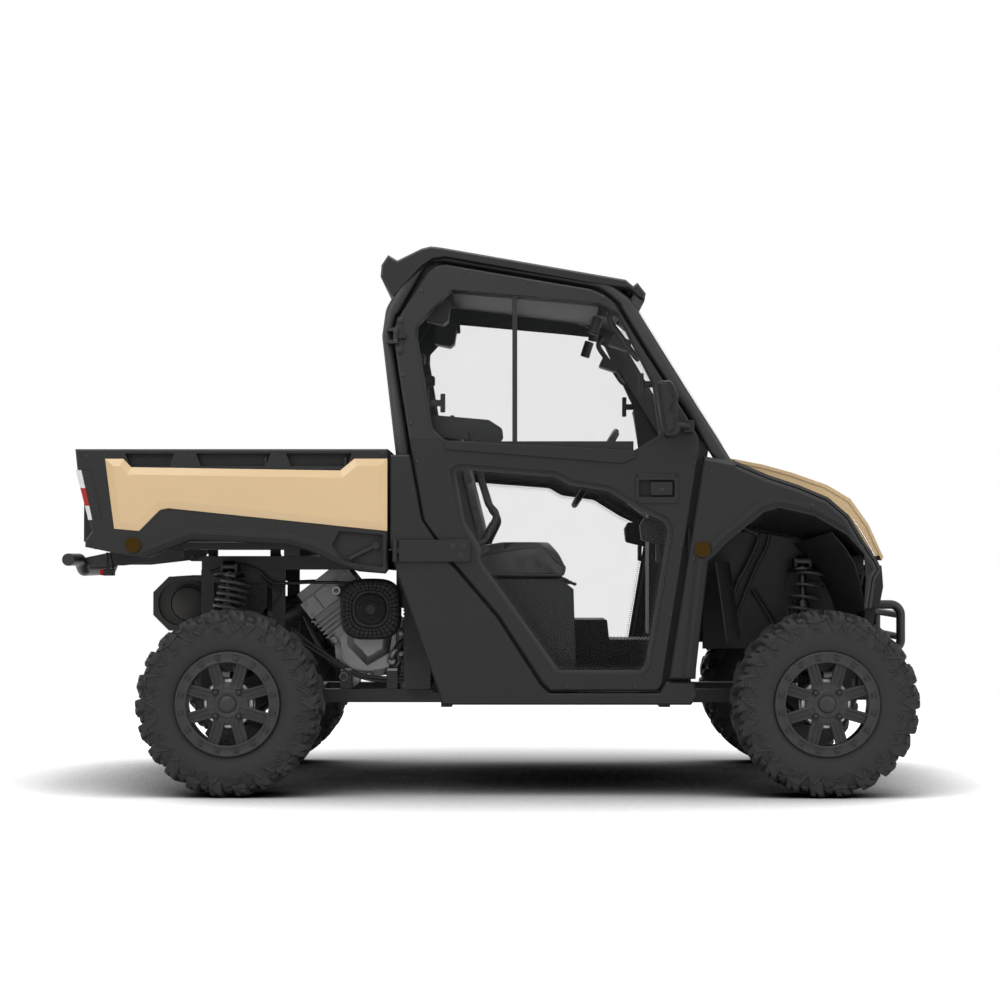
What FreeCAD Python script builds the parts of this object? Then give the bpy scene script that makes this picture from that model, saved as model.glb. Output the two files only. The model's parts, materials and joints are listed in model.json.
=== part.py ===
import FreeCAD, Part
import math
import os

# Side by side utility vehicle with a closed cab and a tipping cargo bed.
# Millimetres, +X forward, +Y to the vehicle's left, +Z up, ground at Z = 0.
# Pieces of the right side (Y below zero) are drawn first and mirrored.

# Stance
front_axle_ahead = 1224.5
axle_behind_cab = 587.0
tyre_radius = 338.0
front_tyre_width = 220.0
rear_tyre_width = 265.0
half_width = 810.0
kingpin_half = 605.0

# Body stations and shells
nose_reach = 210.0
nose_length = 646.0
nose_height = 864.0
door_gap = 8.0
cab_length = 1132.0
cab_height = 1590.0
sill_height = 376.0
belt_height = 1300.0
body_half = 735.0
lean_angle = 8.8
bed_gap = 12.0
bed_length = 1140.0
bed_height = 454.0
bed_base = 808.0
overrun = 40.0
seat_gap = 0.3
clear_gap = 6.0

# Frame
rail_half = 250.0
rail_size = 50.0
rail_base = 312.0
rail_rear_overhang = 151.5
rail_front_overhang = 160.5
cross_size = 40.0
upper_rail_half = 300.0
upper_rail_width = 50.0
upper_rail_height = 52.0
upper_rail_top = 872.0
upper_rear_overhang = 156.5
upper_front_reach = 518.5
frame_plate = 10.0
tower_reach = 110.0
tower_post = 50.0
outrigger_size = 40.0
hitch_reach = 65.0
hitch_half = 38.0
hitch_height = 329.0
hitch_thick = 16.0
hitch_bore_radius = 9.75

# Bed hinge and floor
bed_floor_low = 897.0
bed_floor_thick = 24.0
hinge_drop = 27.0
hinge_behind_axle = 192.5
hinge_pin_radius = 8.0
hinge_eye_radius = 18.0
hinge_leaf = 12.0
sleeper_width = 60.0

# Bed walls
bed_wall = 75.0
bed_front_wall = 30.0
tailgate_thick = 40.0
insert_thick = 8.0
insert_chamfer = 27.0
insert_rise = 7.0
latch_depth = 20.0
lever_radius = 9.0
tail_lamp_thick = 26.0
bumper_tube_radius = 23.0

# Cage and panels
cage_radius = 19.0
cage_bend = 70.0
cage_inset = 45.0
door_thick = 60.0
glass_thick = 5.0
panel_thick = 20.0
roof_inset = 7.0
roof_skin = 8.0
channel_width = 70.0
channel_depth = 3.5
floor_thick = 12.0
firewall_thick = 12.0
interior_half = 640.0

# Nose
fender_flare = 10.0
fender_skin = 12.0
hood_half = 500.0
hood_skin = 12.0
hood_lug = 9.0
crease_share = 0.55
crease_width = 18.0
crease_depth = 4.0
shoulder_bevel = 28.0
fascia_thick = 30.0
lip_start = 12.0
lip_width = 34.0
lip_inset = 8.0
lip_rise = 4.0
liner_inner_half = 400.0
bumper_half = 300.0
guard_radius = 17.0

# Wheels
bead_radius = 180.0
rim_radius = 179.5
rim_wall = 10.0
rim_flange_radius = 188.0
ring_outer_radius = 190.0
ring_inner_radius = 150.0
ring_thick = 10.0
ring_setback = 4.0
disc_setback = 20.0
disc_thick = 20.0
hub_radius = 46.0
hub_cap_radius = 32.0
hub_cap_thick = 10.0
drum_radius = 92.0
drum_length = 58.0
stud_circle = 120.0
nut_radius = 9.0
nut_length = 16.0
ring_bolt_radius = 7.0
ring_bolt_length = 4.0
window_half = 27.0
window_start = 64.0
window_end = 148.0
notch_start = 88.0
notch_half = 44.0
spindle_radius = 20.0
bearing_gap = 0.3

# Knuckles and arms
knuckle_face = 612.0
knuckle_width = 62.0
knuckle_radius = 45.0
ball_low = 243.0
ball_high = 446.0
ball_boss_radius = 17.0
ball_boss_height = 28.0
arm_radius = 13.0
arm_spread = 131.0
steer_arm_reach = 100.0
tie_rod_radius = 9.0
shaft_radius = 12.0
boot_radius = 26.0

# Springs
spring_radius = 50.0
spring_wire = 8.0
damper_radius = 22.0
spring_seat_radius = 58.0
spring_seat_thick = 8.0

# Engine bay
crankcase_half = 190.0
cylinder_lean = 38.0
engine_behind_bed = 237.7
engine_length = 271.7
engine_height = 262.3
engine_rise = 40.0
cover_behind_bed = 83.8
cover_rise = 268.9
muffler_behind_hinge = 56.8
muffler_drop = 182.8
end_disc_radius = 62.0
cover_radius = 116.0
cover_depth = 46.0
cover_face = 385.0
muffler_half = 240.0
muffler_radius = 98.0
exhaust_radius = 24.0

# Interior
seat_half_gap = 45.0
seat_outer = 590.0
wheel_rim_radius = 172.0
wheel_rim_tube = 13.0
column_radius = 22.0
driver_side = 350.0
column_tilt = 29.4

# Gas strut of the bed
strut_side = -235.0
strut_barrel_radius = 14.0
strut_rod_radius = 6.0
strut_barrel_length = 208.0
strut_eye_radius = 20.0
strut_pin_radius = 5.0

# Doors and hinges
strap_standoff = 6.0
strap_thick = 6.0
strap_low_share = 0.299
strap_high_share = 0.349
hinge_inset = 14.5
hinge_barrel_radius = 9.0
handle_rise = 4.0
handle_depth = 20.0
upper_hinge_share = 0.820
lower_hinge_share = 0.324
hinge_offset = 14.0

# Fittings
bumper_ahead = 154.3
cover_rib = 5.0
cover_ribs = 24
diff_radius = 80.0
diff_half = 90.0
hoop_gap = 30.0
hoop_radius = 13.0
column_length = 190.0
pocket_slope = 18.0
pocket_depth = 30.0
gate_barrel = 10.0
bumper_out = 47.0
bumper_reach = 610.0
mirror_out = 60.0
mirror_width = 110.0
mirror_arm_radius = 9.0
marker_radius = 29.0
marker_rise = 5.0

# Counts
lug_count = 22
roof_channels = 5
coil_turns = 5.5
coil_steps = 11
coil_sides = 5
bolt_count = 16

# Outlines as shares of the cab's, nose's and bed's length and height
door_shares = [(0.070, 0.535), (0.023, 0.738), (0.008, 0.813), (0.010, 0.846), (0.032, 0.880),
               (0.114, 0.974), (0.143, 0.991), (0.173, 0.994), (0.643, 0.935), (0.689, 0.921),
               (0.722, 0.901), (0.798, 0.808), (0.948, 0.638), (0.988, 0.586), (0.992, 0.555),
               (0.872, 0.021), (0.856, 0.004), (0.512, 0.004), (0.486, 0.023), (0.348, 0.174),
               (0.197, 0.300), (0.105, 0.395)]
divider_shares = [(0.390, 0.560), (0.406, 0.560), (0.406, 0.924), (0.390, 0.924)]
handle_shares = [(0.787, 0.433), (0.924, 0.433), (0.924, 0.4995), (0.787, 0.4995)]
handle_pocket_shares = [(0.797, 0.447), (0.911, 0.447), (0.911, 0.486), (0.797, 0.486)]
paddle_shares = [(0.834, 0.451), (0.905, 0.451), (0.905, 0.482), (0.834, 0.482)]
upper_window_shares = [(0.188, 0.934), (0.078, 0.849), (0.076, 0.822), (0.127, 0.604),
                       (0.174, 0.572), (0.746, 0.542), (0.789, 0.553), (0.870, 0.588),
                       (0.848, 0.710), (0.736, 0.875), (0.675, 0.901), (0.587, 0.908)]
lower_window_shares = [(0.189, 0.509), (0.215, 0.523), (0.534, 0.505), (0.579, 0.486),
                       (0.702, 0.473), (0.802, 0.429), (0.892, 0.399), (0.908, 0.372),
                       (0.834, 0.060), (0.809, 0.039), (0.531, 0.039), (0.266, 0.303),
                       (0.273, 0.326), (0.221, 0.388)]
cage_shares = [(0.178, 0.015), (0.048, 0.330), (0.045, 0.464), (-0.017, 0.822), (-0.006, 0.882),
               (0.096, 1.017), (0.680, 0.945), (0.765, 0.900), (0.911, 0.723), (1.038, 0.578),
               (1.103, 0.503), (1.106, 0.399)]
roof_shares = [(0.002, 0.909), (-0.041, 0.962), (-0.038, 0.989), (-0.016, 1.013), (0.014, 1.000),
               (0.094, 1.028), (0.124, 1.033), (0.160, 1.030), (0.760, 0.955), (0.785, 0.940),
               (0.799, 0.948), (0.826, 0.923), (0.822, 0.905), (0.805, 0.909), (0.770, 0.931),
               (0.643, 0.943), (0.173, 1.004), (0.134, 1.001), (0.098, 0.984)]
side_panel_shares = [(-0.004, 0.544), (0.060, 0.544), (0.098, 0.397), (0.190, 0.297),
                     (0.342, 0.170), (0.479, 0.018), (0.508, -0.001), (0.862, -0.001),
                     (0.883, 0.025), (0.973, 0.025), (0.985, -0.007), (0.963, -0.028),
                     (0.167, -0.028), (0.008, 0.298), (-0.004, 0.349)]
dash_shares = [(1.094, 0.506), (1.094, 0.534), (1.080, 0.542), (0.929, 0.550), (0.832, 0.521),
               (0.805, 0.487), (0.818, 0.449), (0.876, 0.418), (0.985, 0.380), (1.053, 0.380)]
windshield_shares = [(0.790, 0.9008), (1.072, 0.5678)]
seat_shares = [(0.178, 0.2582), (0.187, 0.317), (0.415, 0.343), (0.507, 0.345), (0.556, 0.303),
               (0.583, 0.291), (0.563, 0.2582)]
back_shares = [(0.230, 0.3222), (0.300, 0.3302), (0.205, 0.600), (0.150, 0.644), (0.112, 0.638),
               (0.126, 0.581)]
hoop_shares = [(0.262, 0.335), (0.304, 0.350), (0.343, 0.408), (0.313, 0.431), (0.262, 0.548),
               (0.255, 0.600)]
headrest_shares = [(0.120, 0.640), (0.313, 0.628), (0.357, 0.608), (0.363, 0.575), (0.135, 0.588)]
seat_box_shares = [(0.178, 0.000), (0.178, 0.258), (0.550, 0.258), (0.590, 0.235), (0.600, 0.000)]
hood_shares = [(0.180, 0.997), (0.368, 0.970), (0.538, 0.935), (0.742, 0.881), (0.875, 0.821),
               (0.978, 0.712), (1.064, 0.569)]
fender_top_shares = [(0.000, 0.995), (0.177, 0.975), (0.368, 0.915), (0.538, 0.873),
                     (0.700, 0.822), (0.818, 0.745), (0.897, 0.644), (0.981, 0.550),
                     (0.999, 0.516), (0.965, 0.478), (0.935, 0.323)]
fender_base_shares = [(0.935, 0.200), (0.0, 0.200)]
fender_leg_shares = [(0.0, 0.985), (-0.200, 0.058), (-0.052, 0.058), (0.20, 0.80), (0.177, 0.960)]
arch_foot_shares = [(0.0, 0.030)]
liner_outer_shares = [(0.255, 0.711), (0.334, 0.759), (0.419, 0.777), (0.615, 0.743),
                      (0.798, 0.664), (0.895, 0.583)]
liner_inner_shares = [(0.310, 0.697), (0.380, 0.690), (0.460, 0.677), (0.620, 0.648),
                      (0.780, 0.610), (0.895, 0.566)]
marker_shares = [(-0.013, 0.602)]
arch_shares = [(-0.055, 0.030), (-0.049, 0.100), (0.019, 0.550), (0.126, 0.633), (0.334, 0.759),
               (0.419, 0.777), (0.615, 0.743), (0.798, 0.664), (0.895, 0.583), (0.905, 0.479),
               (0.880, 0.200)]
bed_side_shares = [(0.000, 1.000), (0.007, 0.833), (0.043, 0.430), (0.055, 0.341), (0.033, 0.271),
                   (0.033, 0.214), (0.129, 0.165), (0.228, 0.128), (0.247, 0.145),
                   (0.375, 0.275), (0.687, 0.229), (0.760, 0.174), (0.833, 0.081),
                   (0.907, 0.018), (0.991, 0.000), (1.000, 0.029), (1.000, 1.000)]
insert_shares = [(0.096, 0.923), (0.155, 0.923), (0.180, 0.855), (0.848, 0.828), (0.893, 0.923),
                 (0.999, 0.923), (0.999, 0.341), (0.299, 0.524), (0.273, 0.511), (0.206, 0.341),
                 (0.126, 0.359)]
bed_arch_shares = [(0.228, 0.128), (0.247, 0.145), (0.375, 0.275), (0.687, 0.229), (0.760, 0.174),
                   (0.833, 0.081), (0.907, 0.018), (0.907, -0.300), (0.228, -0.300)]
latch_shares = [(0.845, 0.342), (0.985, 0.312), (0.985, 0.045), (0.864, 0.094), (0.822, 0.230)]
lever_shares = [(0.877, 0.118), (0.962, 0.225)]
bed_marker_shares = [(0.187, 0.229)]
pocket_shares = [(0.160, 0.317), (0.387, 0.625), (0.675, 0.885)]
tail_lamp_shares = [(0.002, 0.833), (0.052, 0.833), (0.088, 0.430), (0.043, 0.430)]
crankcase_shares = [(0.00, 0.62), (0.04, 0.20), (0.25, 0.02), (0.52, 0.00), (0.86, 0.06),
                    (1.00, 0.35), (1.00, 0.80), (0.72, 1.00), (0.22, 0.96)]
muffler_shares = [(1.0, 0.42), (0.42, 1.0), (-0.42, 1.0), (-1.0, 0.42), (-1.0, -0.42),
                  (-0.42, -1.0), (0.42, -1.0), (1.0, -0.42)]
tyre_tip_shares = [(0.80, 0.000), (1.00, 0.560), (0.86, 0.985), (0.00, 1.000)]
tyre_root_shares = [(0.80, 0.000), (0.98, 0.540), (0.80, 0.862), (0.00, 0.885)]
lug_phase_shares = [0.00, 0.46, 0.54, 0.94]
lug_sweep_share = 0.30
gate_hinge_share = 0.70
bed_floor_rear_share = 0.052

# Stations worked out from the sizes above
fender_half = body_half + fender_flare
front_axle_x = front_axle_ahead
axle_height = tyre_radius
nose_tip_x = front_axle_x + nose_reach
nose_rear_x = nose_tip_x - nose_length
cab_front_x = nose_rear_x - door_gap
cab_rear_x = cab_front_x - cab_length
rear_axle_x = cab_rear_x - axle_behind_cab
wheelbase = front_axle_x - rear_axle_x
rail_rear_x = rear_axle_x - rail_rear_overhang
rail_front_x = front_axle_x + rail_front_overhang
upper_rear_x = rear_axle_x - upper_rear_overhang
upper_front_x = rear_axle_x + upper_front_reach
bed_hinge_x = rear_axle_x - hinge_behind_axle
bed_front_x = cab_rear_x - bed_gap
bed_rear_x = bed_front_x - bed_length
bed_top = bed_base + bed_height
bed_floor_top = bed_floor_low + bed_floor_thick
hinge_height = bed_floor_low - hinge_drop


def vec(x, y, z):
    return FreeCAD.Vector(x, y, z)


def cab(shares):
    return [(cab_rear_x + cab_length * x, sill_height + cab_height * z) for x, z in shares]


def nose(shares):
    return [(nose_rear_x + nose_length * x, sill_height + nose_height * z) for x, z in shares]


def bed(shares):
    return [(bed_rear_x + bed_length * x, bed_base + bed_height * z) for x, z in shares]


def block(x0, x1, y0, y1, z0, z1):
    return Part.makeBox(x1 - x0, y1 - y0, z1 - z0, vec(x0, y0, z0))


def rod(start, end, radius):
    along = end.sub(start)
    return Part.makeCylinder(radius, along.Length, start, along)


def flipped(shape):
    return shape.mirror(vec(0, 0, 0), vec(0, 1, 0))


def fused(shapes):
    whole = shapes[0]
    if len(shapes) > 1:
        whole = whole.fuse(shapes[1:])
    return whole.removeSplitter()


def rounded_edges(points, radius, closed):
    """Straight runs through the points, joined by tangent arcs."""
    count = len(points)
    corners = []
    for i in range(count):
        spot = points[i]
        if radius <= 0 or (not closed and i in (0, count - 1)):
            corners.append((spot, None, spot))
            continue
        back = points[i - 1].sub(spot)
        ahead = points[(i + 1) % count].sub(spot)
        opening = back.getAngle(ahead)
        reach = min(back.Length, ahead.Length) * 0.45
        trim = min(radius / math.tan(opening / 2), reach)
        if math.pi - opening < 0.01:
            corners.append((spot, None, spot))
            continue
        turn = trim * math.tan(opening / 2)
        back.normalize()
        ahead.normalize()
        middle = back.add(ahead)
        middle.normalize()
        apex = spot.add(middle.multiply(turn / math.sin(opening / 2) - turn))
        corners.append((spot.add(back.multiply(trim)), apex, spot.add(ahead.multiply(trim))))
    edges = []
    for i, (start, apex, end) in enumerate(corners):
        if apex is not None:
            edges.append(Part.Arc(start, apex, end).toShape())
        if closed or i < count - 1:
            follow = corners[(i + 1) % count][0]
            if end.sub(follow).Length > 1e-6:
                edges.append(Part.makeLine(end, follow))
    return edges


def outline_wire(points, y, corner):
    spots = [vec(x, y, z) for x, z in points]
    return Part.Wire(rounded_edges(spots, corner, True))


def plate(points, y0, y1, corner=0):
    """A side outline given thickness across the vehicle."""
    return Part.Face(outline_wire(points, y0, corner)).extrude(vec(0, y1 - y0, 0))


def shrunk(points, depth):
    """The outline moved inwards by depth, with mitred corners."""
    area = sum(a[0] * b[1] - b[0] * a[1] for a, b in zip(points, points[1:] + points[:1]))
    sign = 1 if area > 0 else -1
    moved = []
    for i in range(len(points)):
        x, z = points[i]
        px, pz = points[i - 1]
        qx, qz = points[(i + 1) % len(points)]
        back = math.hypot(x - px, z - pz)
        ahead = math.hypot(qx - x, qz - z)
        nax, naz = -(z - pz) / back * sign, (x - px) / back * sign
        nbx, nbz = -(qz - z) / ahead * sign, (qx - x) / ahead * sign
        fit = max(1 + nax * nbx + naz * nbz, 0.5)
        moved.append((x + depth * (nax + nbx) / fit, z + depth * (naz + nbz) / fit))
    return moved


def bevelled(points, y_inner, y_outer, bevel):
    """A panel whose outer edge is chamfered all round."""
    y_turn = y_outer - math.copysign(bevel, y_outer - y_inner)
    full = Part.Face(outline_wire(points, y_inner, 0)).extrude(vec(0, y_turn - y_inner, 0))
    wires = [outline_wire(points, y_turn, 0), outline_wire(shrunk(points, bevel), y_outer, 0)]
    return fused([full, Part.makeLoft(wires, True, True)])


def tube(points, radius, bend):
    """A round tube along a path of straight runs and tangent bends."""
    path = Part.Wire(rounded_edges(points, bend, False))
    ring = Part.Wire([Part.makeCircle(radius, points[0], points[1].sub(points[0]))])
    return path.makePipeShell([ring], True, False)


def side_y(height):
    """Half width of the cab's outer face at a height, leaning in above the belt."""
    return body_half - max(0, height - belt_height) * math.tan(math.radians(lean_angle))


def leaned(shape):
    """Turns the part above the belt inwards about the belt line of the right side."""
    low = block(-wheelbase, wheelbase, -wheelbase, 0, -wheelbase, belt_height)
    high = block(-wheelbase, wheelbase, -wheelbase, 0, belt_height, belt_height + wheelbase)
    upper = shape.common(high)
    upper.rotate(vec(0, -body_half, belt_height), vec(1, 0, 0), -lean_angle)
    return fused([shape.common(low), upper])


def largest(shape):
    return max(shape.Solids, key=lambda solid: solid.Volume)


def facet_solid(points, facets):
    shape = Part.Shape()
    shape.makeShapeFromMesh(([tuple(p) for p in points], facets), seat_gap / 100)
    solid = Part.Solid(Part.Shell(shape.Faces))
    if solid.Volume < 0:
        solid.reverse()
    return solid


def grid_facets(rows, columns, wrap_rows):
    facets = []
    for i in range(rows if wrap_rows else rows - 1):
        for j in range(columns):
            a = i * columns + j
            b = i * columns + (j + 1) % columns
            c = ((i + 1) % rows) * columns + (j + 1) % columns
            d = ((i + 1) % rows) * columns + j
            facets.append((a, b, c))
            facets.append((a, c, d))
    return facets


def make_tyre(width):
    """Lugged tyre about the Y axis: rows run across the profile, columns round it."""
    rise = tyre_radius - bead_radius
    columns = lug_count * len(lug_phase_shares)
    crown = len(tyre_tip_shares) - 1
    rows = []
    for i, (tip, root) in enumerate(zip(tyre_tip_shares, tyre_root_shares)):
        rows.append((-1, i, tip, root))
    for i in range(crown - 1, -1, -1):
        rows.append((1, i, tyre_tip_shares[i], tyre_root_shares[i]))
    points = []
    for side, index, tip, root in rows:
        for j in range(columns):
            pitch, step = divmod(j, len(lug_phase_shares))
            raised = (step < 2) if side < 0 else (step >= 2)
            if index == crown:
                raised = step in (1, 2)
            share, climb = tip if raised else root
            sweep = lug_sweep_share * (max(index, 1) - crown)
            turn = (pitch + lug_phase_shares[step] + sweep) * 2 * math.pi / lug_count
            radius = bead_radius + rise * climb
            points.append((radius * math.cos(turn), side * share * width / 2,
                           radius * math.sin(turn)))
    return facet_solid(points, grid_facets(len(rows), columns, True))


def ring_about_y(outer, inner, y0, y1):
    whole = Part.makeCylinder(outer, y1 - y0, vec(0, y0, 0), vec(0, 1, 0))
    return whole.cut(Part.makeCylinder(inner, y1 - y0, vec(0, y0, 0), vec(0, 1, 0)))


def disc_about_y(radius, y0, y1, x=0, z=0):
    return Part.makeCylinder(radius, y1 - y0, vec(x, y0, z), vec(0, 1, 0))


def rim_windows(y0, y1):
    """Four straight windows and four notched ones between the paired spokes."""
    cuts = []
    for quarter in range(4):
        straight = [(-window_half, window_start), (window_half, window_start),
                    (window_half, window_end), (-window_half, window_end)]
        notch = [(0, notch_start), (notch_half, window_end - window_half / 2),
                 (0, window_end), (-notch_half, window_end - window_half / 2)]
        first = plate(straight, y0, y1, window_half / 2)
        second = plate(notch, y0, y1, window_half / 3)
        first.rotate(vec(0, 0, 0), vec(0, 1, 0), 90 * quarter)
        second.rotate(vec(0, 0, 0), vec(0, 1, 0), 90 * quarter + 45)
        cuts += [first, second]
    return cuts


def make_rim(width):
    """Beadlock rim on the right side about Y, placed by its tyre's centre plane."""
    centre = half_width - width / 2
    face = -(half_width - ring_setback)
    flange = 0.86 * width / 2
    inner_edge = -(centre - flange)
    ring_back = face + ring_thick
    disc_face = face + disc_setback
    barrel = ring_about_y(rim_radius, rim_radius - rim_wall, ring_back, inner_edge)
    inner_lip = ring_about_y(rim_flange_radius, rim_radius - rim_wall, inner_edge,
                             inner_edge + rim_wall / 2)
    outer_lip = ring_about_y(rim_flange_radius, rim_radius - rim_wall, ring_back,
                             -(centre + flange))
    beadlock = ring_about_y(ring_outer_radius, ring_inner_radius, face, ring_back)
    disc = disc_about_y(rim_radius - rim_wall / 2, disc_face, disc_face + disc_thick)
    disc = disc.cut(Part.makeCompound(rim_windows(disc_face - overrun,
                                                  disc_face + disc_thick + overrun)))
    hub = disc_about_y(hub_radius, disc_face - hub_cap_thick / 2, disc_face + disc_thick)
    cap = disc_about_y(hub_cap_radius, disc_face - hub_cap_thick, disc_face)
    pieces = [barrel, inner_lip, outer_lip, beadlock, disc, hub, cap]
    for i in range(4):
        turn = math.radians(45 + 90 * i)
        pieces.append(disc_about_y(nut_radius, disc_face - nut_length, disc_face,
                                   stud_circle / 2 * math.cos(turn),
                                   stud_circle / 2 * math.sin(turn)))
    bolt_circle = (ring_outer_radius + ring_inner_radius) / 2
    for i in range(bolt_count):
        turn = 2 * math.pi * (i + 0.5) / bolt_count
        pieces.append(disc_about_y(ring_bolt_radius, face - ring_bolt_length, ring_back,
                                   bolt_circle * math.cos(turn), bolt_circle * math.sin(turn)))
    return fused(pieces)


def make_drum():
    """Brake drum and spindle that turn with the right wheel."""
    face = -(half_width - ring_setback) + disc_setback + disc_thick
    knuckle_outer = -(knuckle_face + knuckle_width)
    drum = disc_about_y(drum_radius, face + hub_cap_thick, face + drum_length)
    hub = disc_about_y(hub_radius, face, face + hub_cap_thick)
    flange = disc_about_y(hub_radius, face + drum_length, knuckle_outer - clear_gap)
    spindle = disc_about_y(spindle_radius, knuckle_outer - clear_gap,
                           knuckle_outer + knuckle_width * 0.7)
    return fused([drum, hub, flange, spindle])


def make_wheels():
    nodes = {}
    for place, x, width in (("front", front_axle_x, front_tyre_width),
                            ("rear", rear_axle_x, rear_tyre_width)):
        tyre = make_tyre(width)
        tyre.translate(vec(x, -(half_width - width / 2), axle_height))
        rim = fused([make_rim(width), make_drum()])
        rim.translate(vec(x, 0, axle_height))
        nodes["tyre_" + place + "_right"] = tyre
        nodes["tyre_" + place + "_left"] = flipped(tyre)
        nodes["rim_" + place + "_right"] = rim
        nodes["rim_" + place + "_left"] = flipped(rim)
    return nodes


def make_knuckle(x, steering):
    """Upright with its bearing barrel, two ball joint lugs and a steering arm."""
    y0, y1 = -(knuckle_face + knuckle_width), -knuckle_face
    barrel = disc_about_y(knuckle_radius, y0, y1, x, axle_height)
    bore = disc_about_y(spindle_radius + bearing_gap, y0 - overrun, y0 + knuckle_width * 0.8,
                        x, axle_height)
    low = ball_low + ball_boss_height + seat_gap
    high = ball_high - ball_boss_height - seat_gap
    post = block(x - ball_boss_radius, x + ball_boss_radius, y0 + overrun / 2, y1, low, high)
    pieces = [barrel, post]
    for z0 in (low, high - ball_boss_height):
        pieces.append(block(x - ball_boss_radius, x + ball_boss_radius, y1 - overrun / 2,
                            -kingpin_half, z0, z0 + ball_boss_height))
        pieces.append(Part.makeCylinder(ball_boss_radius, ball_boss_height,
                                        vec(x, -kingpin_half, z0)))
    if steering:
        arm_z = rack_height() + seat_gap + ball_boss_height / 2
        pieces.append(block(x - steer_arm_reach, x, -(knuckle_face + ball_boss_radius),
                            -knuckle_face, arm_z, high))
        pieces.append(Part.makeCylinder(ball_boss_radius, ball_boss_height,
                                        vec(x - steer_arm_reach, -kingpin_half, arm_z)))
    return fused(pieces).cut(bore)


def arm_pair(x, root_z, tip_z, root_half):
    """An A-arm: two tubes from the frame to one boss below or above the knuckle."""
    boss = Part.makeCylinder(ball_boss_radius, ball_boss_height,
                             vec(x, -kingpin_half, tip_z - ball_boss_height / 2))
    pieces = [boss]
    for sign in (-1, 1):
        root = vec(x + sign * arm_spread, -root_half, root_z)
        pieces.append(tube([root, vec(x + sign * arm_spread * 0.35,
                                      -(kingpin_half - ball_boss_radius * 5), tip_z),
                            vec(x, -(kingpin_half - ball_boss_radius * 0.3), tip_z)],
                           arm_radius, arm_spread / 2))
        pieces.append(rod(root.add(vec(-ball_boss_height, 0, 0)),
                          root.add(vec(ball_boss_height, 0, 0)), ball_boss_radius))
    return fused(pieces)


def make_arms():
    shapes = []
    for x in (front_axle_x, rear_axle_x):
        low_tip = ball_low + ball_boss_height / 2
        high_tip = ball_high - ball_boss_height / 2
        low_root = rail_base + rail_size / 2
        shapes.append(arm_pair(x, low_root, low_tip, rail_half + rail_size / 2
                               + ball_boss_radius + seat_gap))
        shapes.append(arm_pair(x, ball_high + overrun, high_tip, upper_rail_half
                               + frame_plate / 2 + ball_boss_radius + seat_gap))
    return Part.makeCompound(shapes + [flipped(s) for s in shapes])


def coil(start, end, radius, wire):
    """A coil spring as a closed faceted tube along a helix from start to end."""
    axis = end.sub(start)
    length = axis.Length
    columns = coil_sides
    steps = int(coil_turns * coil_steps)
    points = []
    for i in range(steps + 1):
        turn = 2 * math.pi * coil_turns * i / steps
        climb = wire + (length - 2 * wire) * i / steps
        for j in range(columns):
            around = 2 * math.pi * j / columns
            reach = radius + wire * math.cos(around)
            points.append((reach * math.cos(turn), reach * math.sin(turn),
                           climb + wire * math.sin(around)))
    facets = grid_facets(steps + 1, columns, False)
    last = steps * columns
    for j in range(1, columns - 1):
        facets.append((0, j + 1, j))
        facets.append((last, last + j, last + j + 1))
    solid = facet_solid(points, facets)
    turned = FreeCAD.Rotation(vec(0, 0, 1), axis)
    solid.Placement = FreeCAD.Placement(start, turned)
    return solid


def make_shock(top, bottom):
    """Damper, two spring seats and the spring between them, in the right wheel's arch."""
    axis = bottom.sub(top)
    axis.normalize()

    def along(distance):
        return top.add(vec(axis.x * distance, axis.y * distance, axis.z * distance))

    length = bottom.sub(top).Length
    seat_top = along(spring_seat_radius * 0.5)
    seat_low = along(length - spring_seat_radius)
    tip = spring_seat_thick
    pieces = [rod(top, along(length), damper_radius * 0.6),
              rod(seat_top, along(spring_seat_radius * 0.5 + tip), spring_seat_radius),
              rod(seat_low, along(length - spring_seat_radius + tip), spring_seat_radius),
              rod(along(length * 0.45), along(length - spring_seat_radius), damper_radius)]
    for spot in (top, bottom):
        pieces.append(rod(spot.add(vec(-damper_radius, 0, 0)), spot.add(vec(damper_radius, 0, 0)),
                          damper_radius))
    spring = coil(along(spring_seat_radius * 0.5 + tip + seat_gap),
                  along(length - spring_seat_radius - seat_gap), spring_radius, spring_wire)
    return fused(pieces), spring


def shock_ends():
    drop = overrun
    return [(vec(front_axle_x - drop, -(upper_rail_half + tower_reach), upper_rail_top - drop / 2),
             vec(front_axle_x - drop, -(upper_rail_half + tower_reach + drop),
                 ball_high + overrun + ball_boss_radius + damper_radius + seat_gap)),
            (vec(rear_axle_x - drop, -(upper_rail_half + tower_reach), upper_rail_top - drop),
             vec(rear_axle_x - drop, -(upper_rail_half + tower_reach + drop),
                 ball_high + overrun + ball_boss_radius + damper_radius + seat_gap))]


def make_shocks():
    dampers = []
    springs = []
    for top, bottom in shock_ends():
        damper, spring = make_shock(top, bottom)
        dampers += [damper, flipped(damper)]
        springs += [spring, flipped(spring)]
    return Part.makeCompound(dampers), Part.makeCompound(springs)


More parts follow.
